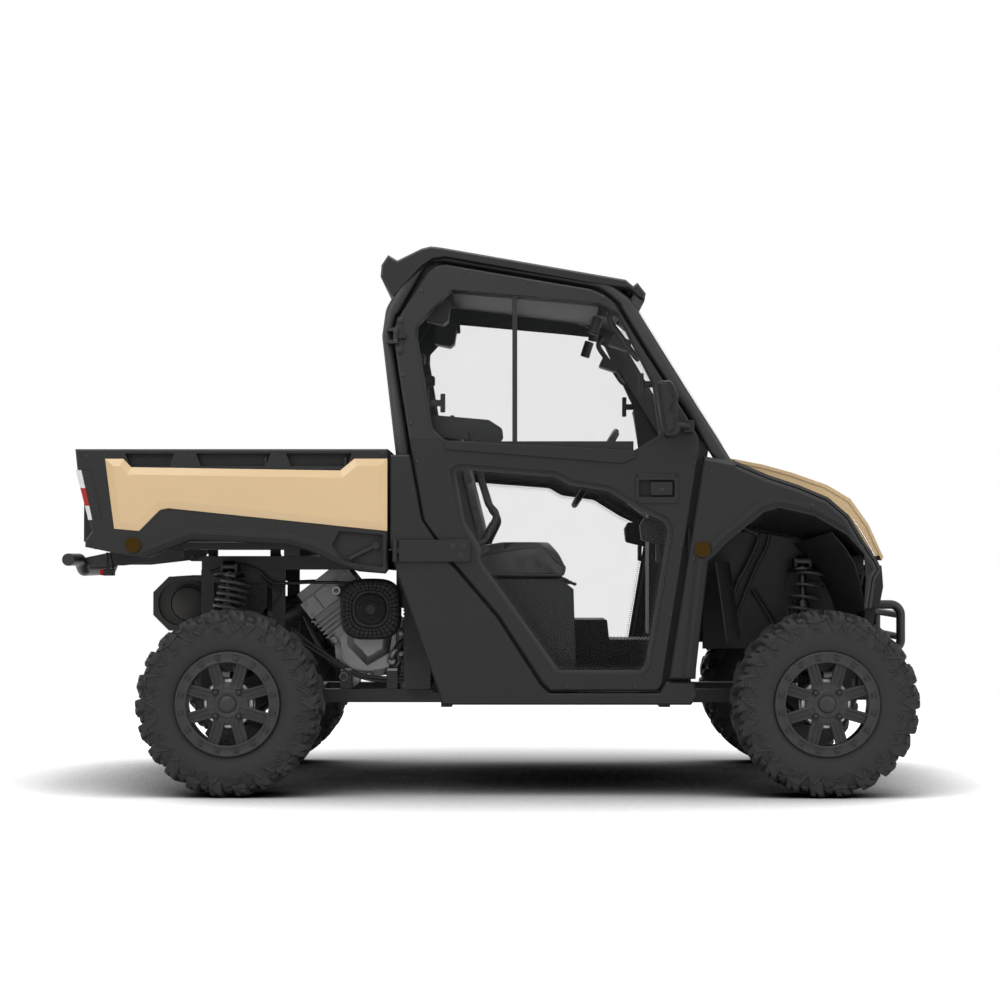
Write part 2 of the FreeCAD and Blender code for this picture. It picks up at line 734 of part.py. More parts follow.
def make_main_frame():
    """Two lower rails with cross members and outriggers that carry the cab."""
    pieces = []
    for side in (-1, 1):
        y = side * rail_half
        pieces.append(block(rail_rear_x, rail_front_x, y - rail_size / 2,
                            y + rail_size / 2, rail_base, rail_base + rail_size))
    for x in (rail_rear_x + cross_size, rear_axle_x + arm_spread * 2, cab_rear_x,
              cab_rear_x + cab_length / 2, cab_front_x - cross_size, rail_front_x - cross_size):
        cross = block(x - cross_size / 2, x + cross_size / 2, -rail_half, rail_half, rail_base,
                      rail_base + rail_size)
        pieces.append(cross.cut(rod(vec(x - cross_size, 0, axle_height),
                                    vec(x + cross_size, 0, axle_height),
                                    shaft_radius + bearing_gap)))
    tongue_x = rail_rear_x - hitch_reach
    pieces.append(block(tongue_x - hitch_half, rail_rear_x + cross_size, -hitch_half, hitch_half,
                        hitch_height, hitch_height + hitch_thick))
    bore = Part.makeCylinder(hitch_bore_radius, hitch_thick + 2 * overrun,
                             vec(tongue_x, 0, hitch_height - overrun))
    frame = fused(pieces).cut(bore)
    for x in (front_axle_x, rear_axle_x):
        frame = frame.cut(disc_about_y(shaft_radius + clear_gap, -rail_half - rail_size,
                                       rail_half + rail_size, x, axle_height))
    return frame


def upper_tower(x, reach):
    """A cross plate and its two uprights, with a bracket for each shock's top."""
    pieces = []
    for side in (-1, 1):
        y = side * upper_rail_half
        plate_low = rail_base + rail_size + seat_gap
        plate_high = upper_rail_top - upper_rail_height
        upright = block(x - reach, x + reach, y - frame_plate / 2, y + frame_plate / 2,
                        plate_low, plate_high)
        window = block(x - reach + tower_post, x + reach - tower_post, y - frame_plate,
                       y + frame_plate, plate_low - overrun, plate_high - tower_post)
        pieces.append(upright.cut(window))
        for sign in (-1, 1):
            x0, x1 = sorted((x + sign * reach, x + sign * (reach - tower_post)))
            y0, y1 = sorted((side * rail_half, y))
            pieces.append(block(x0, x1, y0, y1, plate_low, plate_low + frame_plate))
    return pieces


def make_upper_frame():
    """Upper rails over both axles with the plates down to the lower rails."""
    pieces = []
    for x, rear, front in ((rear_axle_x, upper_rear_x, upper_front_x),
                           (front_axle_x, cab_front_x + overrun, rail_front_x)):
        pieces += upper_tower(x, arm_spread + overrun * 0.75)
        for side in (-1, 1):
            y = side * upper_rail_half
            pieces.append(block(rear, front, y - upper_rail_width / 2, y + upper_rail_width / 2,
                                upper_rail_top - upper_rail_height, upper_rail_top))
        for cross in (rear + overrun, front - overrun):
            pieces.append(block(cross - cross_size / 2, cross + cross_size / 2, -upper_rail_half,
                                upper_rail_half, upper_rail_top - upper_rail_height,
                                upper_rail_top - upper_rail_height + cross_size))
    return fused(pieces)


def shock_brackets():
    """Ears on the upper rails that hold the top eyes of the shocks."""
    shapes = []
    for top, _ in shock_ends():
        for sign in (-1, 1):
            x = top.x + sign * (damper_radius + seat_gap + frame_plate / 2)
            ear = block(x - frame_plate / 2, x + frame_plate / 2, top.y - damper_radius,
                        -(upper_rail_half + upper_rail_width / 2),
                        top.z - damper_radius, top.z + damper_radius / 2)
            shapes.append(ear)
    return shapes


def hinge_ear(side):
    """Rearward lug of the upper rail that holds the bed's hinge pin."""
    y = side * upper_rail_half
    lug = block(bed_hinge_x, upper_rear_x + overrun, y - hinge_leaf / 2, y + hinge_leaf / 2,
                hinge_height - hinge_eye_radius, hinge_height)
    eye = disc_about_y(hinge_eye_radius, y - hinge_leaf / 2, y + hinge_leaf / 2,
                       bed_hinge_x, hinge_height)
    pin = disc_about_y(hinge_pin_radius, y - hinge_leaf * 2, y + hinge_leaf * 2,
                       bed_hinge_x, hinge_height)
    return [lug, eye, pin]


def strut_points():
    low = vec(rear_axle_x, strut_side, upper_rail_top - cross_size * 5.8)
    high = vec(bed_hinge_x + bed_length * 0.273, strut_side, bed_floor_low - strut_eye_radius * 1.3)
    return low, high


def strut_mount():
    """Bracket inside the rear plate that carries the strut's lower pin."""
    low = strut_points()[0]
    y1 = -(upper_rail_half - frame_plate / 2)
    pin = disc_about_y(strut_pin_radius, y1, low.y + strut_eye_radius, low.x, low.z)
    hanger = block(low.x - strut_eye_radius, low.x + strut_eye_radius, y1 - frame_plate, y1,
                   low.z - strut_eye_radius, upper_rail_top - upper_rail_height)
    return [pin, hanger]


def make_chassis_nodes():
    upper = [make_upper_frame()] + hinge_ear(-1) + hinge_ear(1) + strut_mount()
    for ear in shock_brackets():
        upper += [ear, flipped(ear)]
    return {"main_frame": make_main_frame(), "upper_frame": fused(upper)}


def make_floor():
    """Floor pan, firewall and the outriggers that carry the sills."""
    inner = body_half - panel_thick - clear_gap
    base = rail_base + rail_size + seat_gap
    pan = block(cab_rear_x + cab_length * 0.13, cab_front_x - overrun, -inner, inner, base,
                base + floor_thick)
    wall_x = cab_front_x - overrun
    wall = block(wall_x - firewall_thick, wall_x, -inner, inner, base,
                 sill_height + cab_height * 0.377)
    pieces = [pan, wall]
    for x in (cab_rear_x + cab_length * 0.178, cab_front_x - cab_length * 0.12):
        for side in (-1, 1):
            y0, y1 = sorted((side * (rail_half + rail_size / 2 + seat_gap), side * inner))
            pieces.append(block(x - outrigger_size / 2, x + outrigger_size / 2, y0, y1,
                                base - outrigger_size, base))
    return fused(pieces)


def cage_path():
    spots = []
    for x, z in cab(cage_shares):
        spots.append(vec(x, -(side_y(z) - cage_inset), z))
    foot = spots[0]
    floor_top = rail_base + rail_size + floor_thick + 2 * seat_gap
    spots[0] = vec(foot.x, foot.y, floor_top + cage_radius * 0.29)
    return spots


def make_cage(extra):
    """One bent side hoop each side, and the cross tubes that join them."""
    spots = cage_path()
    hoop = tube(spots, cage_radius + extra, cage_bend)
    bars = []
    for share_x, share_z in (cage_shares[2], cage_shares[5], cage_shares[6], cage_shares[11]):
        x, z = cab([(share_x, share_z)])[0]
        y = side_y(z) - cage_inset
        if share_z > 0.99:
            x += cage_radius * 2.5
            z -= cage_radius * 1.2
        if share_z == cage_shares[6][1]:
            x -= cage_radius * 2
            z += cage_radius * 0.3
        bars.append(rod(vec(x, -y, z), vec(x, y, z), cage_radius * 0.9 + extra))
    return fused([hoop, flipped(hoop)] + bars)


def roof_half():
    """Half width of the roof, just inside the cab's outer face at that height."""
    return side_y(sill_height + cab_height) - roof_inset


def make_roof():
    """Moulded roof: a skin over the cage with side skirts, a rear visor and top channels."""
    outline = cab(roof_shares)
    half = roof_half()
    rim = roof_skin * 2
    whole = plate(outline, -half + rim, half - rim)
    wires = [outline_wire(outline, -half + rim, 0),
             outline_wire(shrunk(outline, roof_skin), -half, 0)]
    cheek = Part.makeLoft(wires, True, True)
    inner = shrunk(outline, roof_skin)
    hollow = inner[5:10] + [(x, z - overrun) for x, z in reversed(inner[5:10])]
    cavity = plate(hollow, -half + rim, half - rim)
    shape = fused([whole, cheek, flipped(cheek)]).cut(cavity)
    rear, front = outline[7], outline[8]
    channels = []
    for i in range(roof_channels):
        y = half * (2 * i - roof_channels + 1) / roof_channels
        strip = plate(outline, y - channel_width / 2, y + channel_width / 2)
        strip = strip.cut(plate(shrunk(outline, channel_depth), y - channel_width,
                                y + channel_width))
        channels.append(strip.common(block(rear[0] + overrun, front[0] - overrun, y - half, y + half,
                                           front[1] - overrun, rear[1] + overrun)))
    return shape.cut(Part.makeCompound(channels))


def pane(start, end, half_low, half_high, thick):
    """A flat sheet across the vehicle between two side points, narrower at its top."""
    corners = [vec(start[0], -half_high, start[1]), vec(start[0], half_high, start[1]),
               vec(end[0], half_low, end[1]), vec(end[0], -half_low, end[1])]
    face = Part.Face(Part.makePolygon(corners + corners[:1]))
    normal = vec(end[1] - start[1], 0, start[0] - end[0])
    normal.normalize()
    return face.extrude(normal.multiply(thick))


def make_windshield():
    top, low = cab(windshield_shares)
    return pane(top, low, side_y(low[1]) - cage_inset, side_y(top[1]) - cage_inset,
                glass_thick)


def make_rear_wall():
    """Lower rear panel of the cab and the frame round its rear window."""
    spots = cage_path()
    half = side_y(belt_height) - cage_inset - cage_radius - clear_gap
    x = spots[2].x + cage_radius * 0.9 + seat_gap
    z0 = sill_height + cab_height * 0.30
    z1 = sill_height + cab_height * 0.55
    wall = block(x, x + panel_thick, -half, half, z0, z1)
    ribs = []
    for i in range(5):
        y = half * (i - 2) / 2.6
        ribs.append(block(x + panel_thick, x + panel_thick * 1.6, y - overrun / 2,
                          y + overrun / 2, z0 + overrun, z1 - overrun))
    low = (x + panel_thick * 0.5, z1 + seat_gap)
    high = (spots[3].x + cage_radius * 2, spots[3].z)
    glass = pane(high, low, half - overrun, side_y(high[1]) - cage_inset - overrun * 1.5,
                 -glass_thick)
    return fused([wall] + ribs), glass


def make_door():
    """Right door leaf with its two window openings."""
    outline = cab(door_shares)
    leaf = bevelled(outline, -(body_half - door_thick), -body_half, clear_gap)
    y0, y1 = -body_half - overrun, -(body_half - door_thick) + overrun
    upper = plate(cab(upper_window_shares), y0, y1, overrun / 2)
    lower = plate(cab(lower_window_shares), y0, y1, overrun / 2)
    return leaved(leaf.cut(upper).cut(lower))


def leaved(leaf):
    """Adds the window rail and divider to a flat leaf and leans it; then handle and hinges."""
    rail = block(cab_rear_x + cab_length * 0.17, cab_rear_x + cab_length * 0.78,
                 -(body_half - door_thick * 0.05), -(body_half - door_thick * 0.35),
                 sill_height + cab_height * 0.553, sill_height + cab_height * 0.575)
    divider = plate(cab(divider_shares), -(body_half - glass_thick), -(body_half - door_thick / 2))
    shape = leaned(fused([leaf, rail, divider]))
    face = -body_half
    floor = face + handle_depth
    bezel = bevelled(cab(handle_shares), face + handle_rise, face - handle_rise, handle_rise)
    shape = fused([shape, bezel]).cut(plate(cab(handle_pocket_shares), face - overrun, floor,
                                            clear_gap))
    paddle = plate(cab(paddle_shares), floor, face, clear_gap)
    strap_y = -(body_half + strap_standoff)
    z0 = sill_height + cab_height * strap_low_share
    z1 = sill_height + cab_height * strap_high_share
    hinge_x = cab_rear_x + hinge_inset
    strap_x = hinge_x + hinge_barrel_radius + clear_gap
    strap = block(strap_x, cab_rear_x + cab_length * 0.254, strap_y - strap_thick, strap_y,
                  z0, z1)
    tongue = block(hinge_x, strap_x, strap_y - strap_thick, strap_y, z0 + (z1 - z0) * 0.38,
                   z1 - (z1 - z0) * 0.35)
    spacer = block(cab_rear_x + cab_length * 0.21, cab_rear_x + cab_length * 0.254, strap_y,
                   -(body_half - strap_thick), z0 + strap_thick, z1)
    knuckle = hinge_barrel(hinge_x, z0 + (z1 - z0) * 0.36, z1 - (z1 - z0) * 0.33)
    upper = upper_hinge_leaf()
    return fused([shape, strap, tongue, spacer, knuckle, paddle] + upper)


def hinge_line():
    """Two points of the right door's hinge axis, just outside the leaf's face."""
    x = cab_rear_x + hinge_inset
    low = sill_height + cab_height * lower_hinge_share
    high = sill_height + cab_height * upper_hinge_share
    return vec(x, -(side_y(low) + hinge_offset), low), vec(x, -(side_y(high) + hinge_offset), high)


def hinge_spot(height):
    low, high = hinge_line()
    share = (height - low.z) / (high.z - low.z)
    return low.add(high.sub(low).multiply(share))


def hinge_barrel(x, z0, z1):
    return rod(hinge_spot(z0), hinge_spot(z1), hinge_barrel_radius)


def upper_hinge_leaf():
    """The leaf of the upper hinge, bolted on the door's rear edge."""
    z = sill_height + cab_height * upper_hinge_share
    spot = hinge_spot(z)
    tall = hinge_barrel_radius * 4
    low = z - tall / 3 + handle_rise / 2
    leaf = block(spot.x, spot.x + tall, spot.y, spot.y + hinge_offset + handle_rise,
                 low, 2 * z - low)
    return [leaf, hinge_barrel(spot.x, z - tall / 3, z + tall / 3)]


def hinge_brackets():
    """Cab side halves of the right door's hinges, above and below the door's barrels."""
    pieces = []
    z = sill_height + cab_height * upper_hinge_share
    tall = hinge_barrel_radius * 4
    y_tube = -(side_y(z) - cage_inset)
    for sign in (-1, 1):
        z0 = z + sign * (tall / 3 + seat_gap)
        z1 = z + sign * (tall * 0.8)
        pieces.append(hinge_barrel(0, min(z0, z1), max(z0, z1)))
        spot = hinge_spot((z0 + z1) / 2)
        tube_x = cage_path()[3].x
        face = -(side_y(min(z0, z1)) + clear_gap * 0.6)
        near = z + sign * (tall / 3 + handle_rise)
        arm = block(tube_x, spot.x, spot.y, face, min(near, z1), max(near, z1))
        back = block(tube_x, tube_x + cage_radius, face, y_tube + cage_radius * 0.2,
                     min(near, z1), max(near, z1))
        pieces.append(fused([arm, back]))
    return fused(pieces[:2]), fused(pieces[2:])


def make_lower_hinges():
    """Cab side barrels of the strap hinge with their plate on the quarter panel."""
    z0 = sill_height + cab_height * strap_low_share
    z1 = sill_height + cab_height * strap_high_share
    tall = z1 - z0
    pieces = []
    for a, b, lift in ((z0, z0 + tall * 0.36 - seat_gap, 0),
                       (z1 - tall * 0.33 + seat_gap, z1, handle_rise)):
        spot = hinge_spot((a + b) / 2)
        pieces.append(hinge_barrel(0, a, b))
        pieces.append(block(spot.x - hinge_barrel_radius, spot.x + hinge_barrel_radius, spot.y,
                            -(body_half - panel_thick / 2), a + lift, b - handle_rise + lift))
    return pieces


def make_door_glass():
    """Panes of the right door, in the middle of the leaf, a little larger than the openings."""
    middle = body_half - door_thick / 2
    upper = leaned(plate(cab(upper_window_shares), -middle - glass_thick / 2,
                         -middle + glass_thick / 2, overrun / 2))
    lower = plate(shrunk(cab(lower_window_shares), seat_gap), -middle - glass_thick / 2,
                  -middle + glass_thick / 2, overrun / 2)
    return upper, lower


def make_side_panels():
    outline = cab(side_panel_shares)
    panel = bevelled(outline, -(body_half - panel_thick), -body_half, clear_gap)
    right = fused([panel] + make_lower_hinges())
    return Part.makeCompound([right, flipped(right)])


def make_dash():
    """Dashboard moulding with its cowl under the windshield and a centre stack."""
    shape = plate(cab(dash_shares), -interior_half, interior_half, overrun / 2)
    wall_x = cab_front_x - overrun
    stack = block(cab_rear_x + cab_length * 0.86, wall_x - firewall_thick - seat_gap,
                  -overrun * 3, overrun * 3, sill_height + cab_height * 0.12,
                  sill_height + cab_height * 0.42)
    below = block(wall_x - firewall_thick - seat_gap, cab_front_x + overrun * 3,
                  -interior_half, interior_half, sill_height,
                  sill_height + cab_height * 0.377 + seat_gap)
    whole = fused([shape, stack]).cut(below)
    for side in (-1, 1):
        y0, y1 = sorted((side * (hood_half - clear_gap), side * body_half))
        whole = whole.cut(block(cab_front_x, nose_tip_x, y0, y1, 0, cab_height + sill_height))
    centre = wheel_centre()
    axis = column_axis()
    hole = rod(centre, centre.sub(axis.multiply(column_length * 2)), column_radius + seat_gap)
    return largest(whole.cut(hole))


def raised_lip(line, clip, y_face):
    """A stepped band that stands out from a panel's face along the edge of an arch."""
    bands = []
    for step in (1, 2):
        near = lip_start + lip_inset * (step - 1)
        far = lip_start + lip_width - lip_inset * (step - 1)
        band = plate(shrunk(line, -far), y_face + lip_rise, y_face - lip_rise * step)
        bands.append(band.cut(plate(shrunk(line, -near), y_face + overrun, y_face - overrun)))
    return [band.common(clip) for band in bands]


def arch_liner():
    """Moulded sheet from the fender's arch edge in over the wheel, lower at its inner edge."""
    outer = nose(liner_outer_shares)
    inner = nose(liner_inner_shares)
    wires = []
    for line, y in ((outer, -(fender_half - fender_skin / 2)), (inner, -liner_inner_half)):
        back = [(x, z + fender_skin / 2) for x, z in reversed(line)]
        wires.append(outline_wire(line + back, y, 0))
    return Part.makeLoft(wires, True, True)


def make_fenders():
    """Front fenders: a side skin with its arch and lip, a top that meets the hood, a liner."""
    full = nose(fender_top_shares) + nose(fender_base_shares)
    leg = nose(fender_leg_shares[:3] + arch_shares[1:4] + fender_leg_shares[3:])
    arch_line = nose(arch_shares + arch_foot_shares)
    inner_y = -(hood_half + seat_gap + clear_gap)
    outer_y = -fender_half
    shell = bevelled(full, inner_y, outer_y, shoulder_bevel)
    cavity = plate(shrunk(full, fender_skin), inner_y + overrun, outer_y + fender_skin)
    low = block(nose_rear_x - overrun, nose_tip_x + overrun, outer_y - overrun,
                inner_y + overrun, 0, 2 * tyre_radius + clear_gap * 1.1)
    arch = plate(arch_line, outer_y - overrun, inner_y + overrun)
    wall_top = arch_line[3][1]
    rear_wall = block(nose_rear_x - seat_gap, nose_rear_x + fender_skin + seat_gap,
                      outer_y + fender_skin, inner_y + overrun, 0, wall_top)
    shell = shell.cut(cavity).cut(low).cut(arch).cut(rear_wall)
    pillar = bevelled(leg, -(body_half - panel_thick), outer_y, clear_gap)
    clip = fused([plate(shrunk(full, shoulder_bevel + clear_gap), outer_y - overrun,
                        outer_y + overrun).cut(low),
                  plate(shrunk(leg, clear_gap), outer_y - overrun, outer_y + overrun)])
    x, z = nose(marker_shares)[0]
    clip = clip.cut(disc_about_y(marker_radius + clear_gap, outer_y - overrun,
                                 outer_y + overrun, x, z))
    return fused([shell, pillar, arch_liner()] + raised_lip(arch_line, clip, outer_y)
                 + hood_ears())


def hood_hinge():
    """Hinge line of the hood, just ahead of and below its rear edge."""
    x, z = nose(hood_shares)[0]
    return x + clear_gap, z - hood_skin


def hood_ears():
    """Ears on the right fender's top edge with the pins the hood turns on."""
    x, z = hood_hinge()
    inner_y = -(hood_half + seat_gap + clear_gap)
    ear = block(x - hood_lug, x + hood_lug, inner_y - overrun / 2, inner_y, z - overrun * 0.6,
                z + hood_lug / 2)
    pin = disc_about_y(strut_pin_radius, inner_y - clear_gap, -(hood_half - overrun / 2), x, z)
    return [ear, pin]


def make_hood():
    """Hood skin between the fenders, following the nose's profile."""
    line = nose(hood_shares)
    low = [(x - hood_skin * 0.6, z - hood_skin) for x, z in reversed(line)]
    skin = plate(line + low, -hood_half, hood_half)
    x, z = hood_hinge()
    lugs = []
    bores = []
    for side in (-1, 1):
        y0, y1 = sorted((side * (hood_half - overrun / 2), side * hood_half))
        lugs.append(block(x - hood_lug, x + hood_lug, y0, y1, z - hood_lug, z + hood_lug / 2))
        bores.append(disc_about_y(strut_pin_radius + bearing_gap, y0 - overrun, y1 + overrun,
                                  x, z))
    creases = []
    for side in (-1, 1):
        y = side * hood_half * crease_share
        crease = plate(line + low, y - crease_width / 2, y + crease_width / 2)
        creases.append(crease.cut(plate(shrunk(line + low, crease_depth), y - crease_width,
                                        y + crease_width)))
    top = block(line[0][0] + overrun, line[-1][0] - overrun, -hood_half, hood_half, line[-1][1],
                line[0][1] + overrun)
    creases = [crease.common(top).common(plate([(px, pz + overrun) for px, pz in line]
                                               + [(px, pz - hood_skin / 2) for px, pz
                                                  in reversed(line)], -hood_half, hood_half))
               for crease in creases]
    return fused([skin] + lugs).cut(Part.makeCompound(bores + creases))


def make_fascia():
    """Front face under the hood with its grille openings and lamp pockets."""
    line = nose(hood_shares)
    tip = line[-1]
    face_x = tip[0] - clear_gap
    top = tip[1] - hood_skin * 2 - clear_gap
    base = sill_height + nose_height * 0.18
    profile = [(face_x, top), (face_x + clear_gap, top - overrun * 2), (face_x - overrun, base),
               (face_x - overrun - fascia_thick, base), (face_x - fascia_thick, top)]
    shape = plate(profile, -fender_half * 0.66, fender_half * 0.66, clear_gap)
    cuts = []
    for i in range(5):
        z = base + (top - base) * (0.18 + 0.13 * i)
        cuts.append(block(face_x - fascia_thick * 3, face_x + overrun, -overrun * 5,
                          overrun * 5, z, z + overrun * 0.6))
    for side in (-1, 1):
        y0, y1 = sorted((side * overrun * 6, side * overrun * 11.5))
        cuts.append(block(face_x - overrun, face_x + overrun, y0, y1, top - overrun * 2.2,
                          top - overrun * 0.5))
        y0, y1 = sorted((side * rail_half * 1.7, side * fender_half))
        cuts.append(block(face_x - overrun * 4, face_x + overrun, y0, y1, base - overrun,
                          2 * tyre_radius + clear_gap))
    lamps = []
    for side in (-1, 1):
        y0, y1 = sorted((side * (overrun * 6 + seat_gap), side * (overrun * 11.5 - seat_gap)))
        lamps.append(block(face_x - overrun + seat_gap, face_x - clear_gap, y0, y1,
                           top - overrun * 2.2 + seat_gap, top - overrun * 0.5 - seat_gap))
    brackets = []
    for side in (-1, 1):
        y0, y1 = sorted((side * (upper_rail_half - cross_size / 2), side
                         * (upper_rail_half + cross_size / 2)))
        brackets.append(block(rail_front_x + seat_gap, face_x - fascia_thick, y0, y1,
                              top - overrun * 0.4, top))
    shape = fused([shape.cut(Part.makeCompound(cuts))] + brackets)
    return shape, Part.makeCompound(lamps)


def make_front_bumper():
    """Two side loops of tube on stays from the rails, joined by two cross tubes."""
    front_x = nose_tip_x + bumper_ahead - guard_radius
    face_x = nose(hood_shares)[-1][0] - clear_gap
    stay_x = rail_front_x + overrun
    top = sill_height + nose_height * 0.36
    base = sill_height + nose_height * 0.17
    loop = tube([vec(face_x + seat_gap, -bumper_half, top), vec(front_x, -bumper_half, top),
                 vec(front_x, -bumper_half, base), vec(stay_x, -bumper_half, base - overrun)],
                guard_radius, overrun)
    bars = []
    for z in (top - overrun, base + overrun):
        bars.append(rod(vec(front_x, -bumper_half, z), vec(front_x, bumper_half, z),
                        guard_radius * 0.8))
    stays = []
    for side in (-1, 1):
        y0, y1 = sorted((side * rail_half, side * (bumper_half + guard_radius)))
        stays.append(block(rail_front_x + seat_gap, stay_x + overrun / 2, y0, y1,
                           rail_base + rail_size / 4, rail_base + rail_size))
        stays.append(block(stay_x - overrun / 2, stay_x + overrun / 2, y0, y1,
                           rail_base + rail_size / 4, base - overrun / 2))
    return fused([loop, flipped(loop)] + bars + stays)


def make_engine():
    """Open engine: crankcase outline, leaning cylinder and head, and covers."""
    x0 = bed_front_x - engine_behind_bed
    long = engine_length
    z0 = rail_base + rail_size + engine_rise
    tall = engine_height
    outline = [(x0 + long * x, z0 + tall * z) for x, z in crankcase_shares]
    case = plate(outline, -crankcase_half, crankcase_half, overrun / 2)
    cover = plate(shrunk(outline, overrun * 0.7), -crankcase_half - overrun,
                  -crankcase_half, overrun / 2)
    barrel = block(-overrun * 2.6, overrun * 2.6, -crankcase_half * 0.9, crankcase_half * 0.5,
                   0, overrun * 7.2)
    head = block(-overrun * 2.9, overrun * 2.9, -crankcase_half, crankcase_half * 0.6,
                 overrun * 4.4, overrun * 6.2)
    top = fused([barrel, head])
    fins = []
    for i in range(5):
        z = overrun * (2.0 + 0.45 * i)
        fins.append(block(-overrun * 2.9, overrun * 2.9, -crankcase_half, crankcase_half * 0.6,
                          z, z + overrun * 0.18))
    top = fused([top] + fins)
    top.rotate(vec(0, 0, 0), vec(0, 1, 0), -cylinder_lean)
    top.translate(vec(x0 + long * 0.42, 0, z0 + tall * 0.6))
    feet = []
    for x in (x0 + long * 0.2, x0 + long * 0.85):
        feet.append(block(x - overrun / 2, x + overrun / 2, -rail_half - rail_size / 2,
                          rail_half + rail_size / 2, rail_base + rail_size + seat_gap,
                          z0 + overrun))
    return fused([case, cover, top] + feet)


def make_fan_cover():
    """Round ribbed cover outside the crankcase: rings and radial ribs on a soft square."""
    x = bed_front_x - cover_behind_bed
    z = rail_base + rail_size + engine_rise + cover_rise
    half = cover_radius
    square = [(x - half, z - half), (x + half, z - half), (x + half, z + half),
              (x - half, z + half)]
    y_face = -cover_face
    y_back = -(cover_face - cover_depth)
    body = plate(square, y_face, y_back, half * 0.6)
    neck = disc_about_y(half * 0.62, y_back, -crankcase_half - overrun - seat_gap, x, z)
    body = fused([body, neck])
    for share in (0.86, 0.62, 0.40, 0.22):
        groove = ring_about_y(half * share, half * share - cover_rib, y_face - overrun,
                              y_face + cover_rib)
        groove.translate(vec(x, 0, z))
        body = body.cut(groove)
    ribs = []
    for i in range(cover_ribs):
        turn = 2 * math.pi * i / cover_ribs
        rib = block(half * 0.24, half * 0.94, y_face - cover_rib, y_face + cover_rib,
                    -cover_rib / 2, cover_rib / 2)
        rib.rotate(vec(0, 0, 0), vec(0, 1, 0), math.degrees(turn))
        rib.translate(vec(x, 0, z))
        ribs.append(rib)
    return fused([body] + ribs)


def make_muffler():
    """Transverse silencer, eight sided, with rolled rims and an end disc."""
    x = bed_hinge_x - muffler_behind_hinge
    z = upper_rail_top - muffler_drop
    shell = plate([(x + muffler_radius * a, z + muffler_radius * b) for a, b in muffler_shares],
                  -muffler_half, muffler_half)
    pieces = [shell]
    for side in (-1, 1):
        y0, y1 = sorted((side * (muffler_half - overrun / 2), side * (muffler_half + clear_gap)))
        rim = plate([(x + (muffler_radius + clear_gap) * a, z + (muffler_radius + clear_gap) * b)
                     for a, b in muffler_shares], y0, y1)
        pieces.append(rim)
    whole = fused(pieces)
    for side in (-1, 1):
        y0, y1 = sorted((side * (muffler_half - clear_gap), side * (muffler_half + overrun)))
        whole = whole.cut(disc_about_y(muffler_radius * 0.86, y0, y1, x, z))
        y0, y1 = sorted((side * (muffler_half - overrun / 2), side * muffler_half))
        whole = whole.fuse(disc_about_y(end_disc_radius, y0, y1, x, z))
    front = x + muffler_radius
    pipe = tube([vec(front - overrun, 0, z), vec(front + overrun * 3, 0, z - overrun),
                 vec(rear_axle_x + overrun * 3, overrun * 2, z - overrun * 1.5),
                 vec(bed_front_x - engine_behind_bed + overrun, overrun * 2, z - overrun)],
                exhaust_radius, overrun * 1.5)
    hanger = block(x - overrun / 2, x + overrun / 2, -upper_rail_half + upper_rail_width / 2
                   + seat_gap, upper_rail_half - upper_rail_width / 2 - seat_gap,
                   z + muffler_radius * 0.9, z + muffler_radius + clear_gap * 1.2)
    arms = []
    for side in (-1, 1):
        y = side * (upper_rail_half - upper_rail_width / 2 - overrun / 2)
        arms.append(block(x - overrun / 2, upper_rear_x + overrun * 2, y - overrun / 2,
                          y + overrun / 2 - seat_gap, z + muffler_radius * 0.9,
                          z + muffler_radius + clear_gap * 1.2))
    return fused([whole, hanger] + arms), pipe


def make_drive():
    """Front and rear final drives on the axle lines, with the prop shaft and half shafts."""
    pieces = []
    for x in (front_axle_x, rear_axle_x):
        case = disc_about_y(diff_radius, -diff_half, diff_half, x, axle_height)
        feet = block(x - overrun, x + overrun, -rail_half + rail_size / 2 + seat_gap,
                     rail_half - rail_size / 2 - seat_gap, axle_height - diff_radius * 0.2,
                     axle_height + diff_radius * 0.2)
        shafts = [disc_about_y(shaft_radius, -(kingpin_half - boot_radius), kingpin_half
                               - boot_radius, x, axle_height)]
        for side in (-1, 1):
            y0, y1 = sorted((side * (kingpin_half - boot_radius * 3), side
                             * (kingpin_half - boot_radius)))
            shafts.append(disc_about_y(boot_radius, y0, y1, x, axle_height))
        pieces.append(fused([case, feet] + shafts))
    prop = rod(vec(rear_axle_x + diff_radius + seat_gap, 0, axle_height),
               vec(front_axle_x - diff_radius - seat_gap, 0, axle_height), shaft_radius)
    return Part.makeCompound(pieces + [prop])


def rack_height():
    """The rack runs above the lower rails and the feet of the front plates."""
    return rail_base + rail_size + frame_plate + clear_gap + ball_boss_height / 2


def make_rack():
    """Steering rack bar with a tie rod eye under each steering arm."""
    x = front_axle_x - steer_arm_reach
    z = rack_height()
    bar = disc_about_y(tie_rod_radius, -kingpin_half, kingpin_half, x, z)
    eyes = []
    for side in (-1, 1):
        eyes.append(Part.makeCylinder(ball_boss_radius * 0.9, ball_boss_height,
                                      vec(x, side * kingpin_half, z - ball_boss_height / 2)))
    return fused([bar] + eyes)


def make_rear_knuckles():
    right = make_knuckle(rear_axle_x, False)
    return Part.makeCompound([right, flipped(right)])


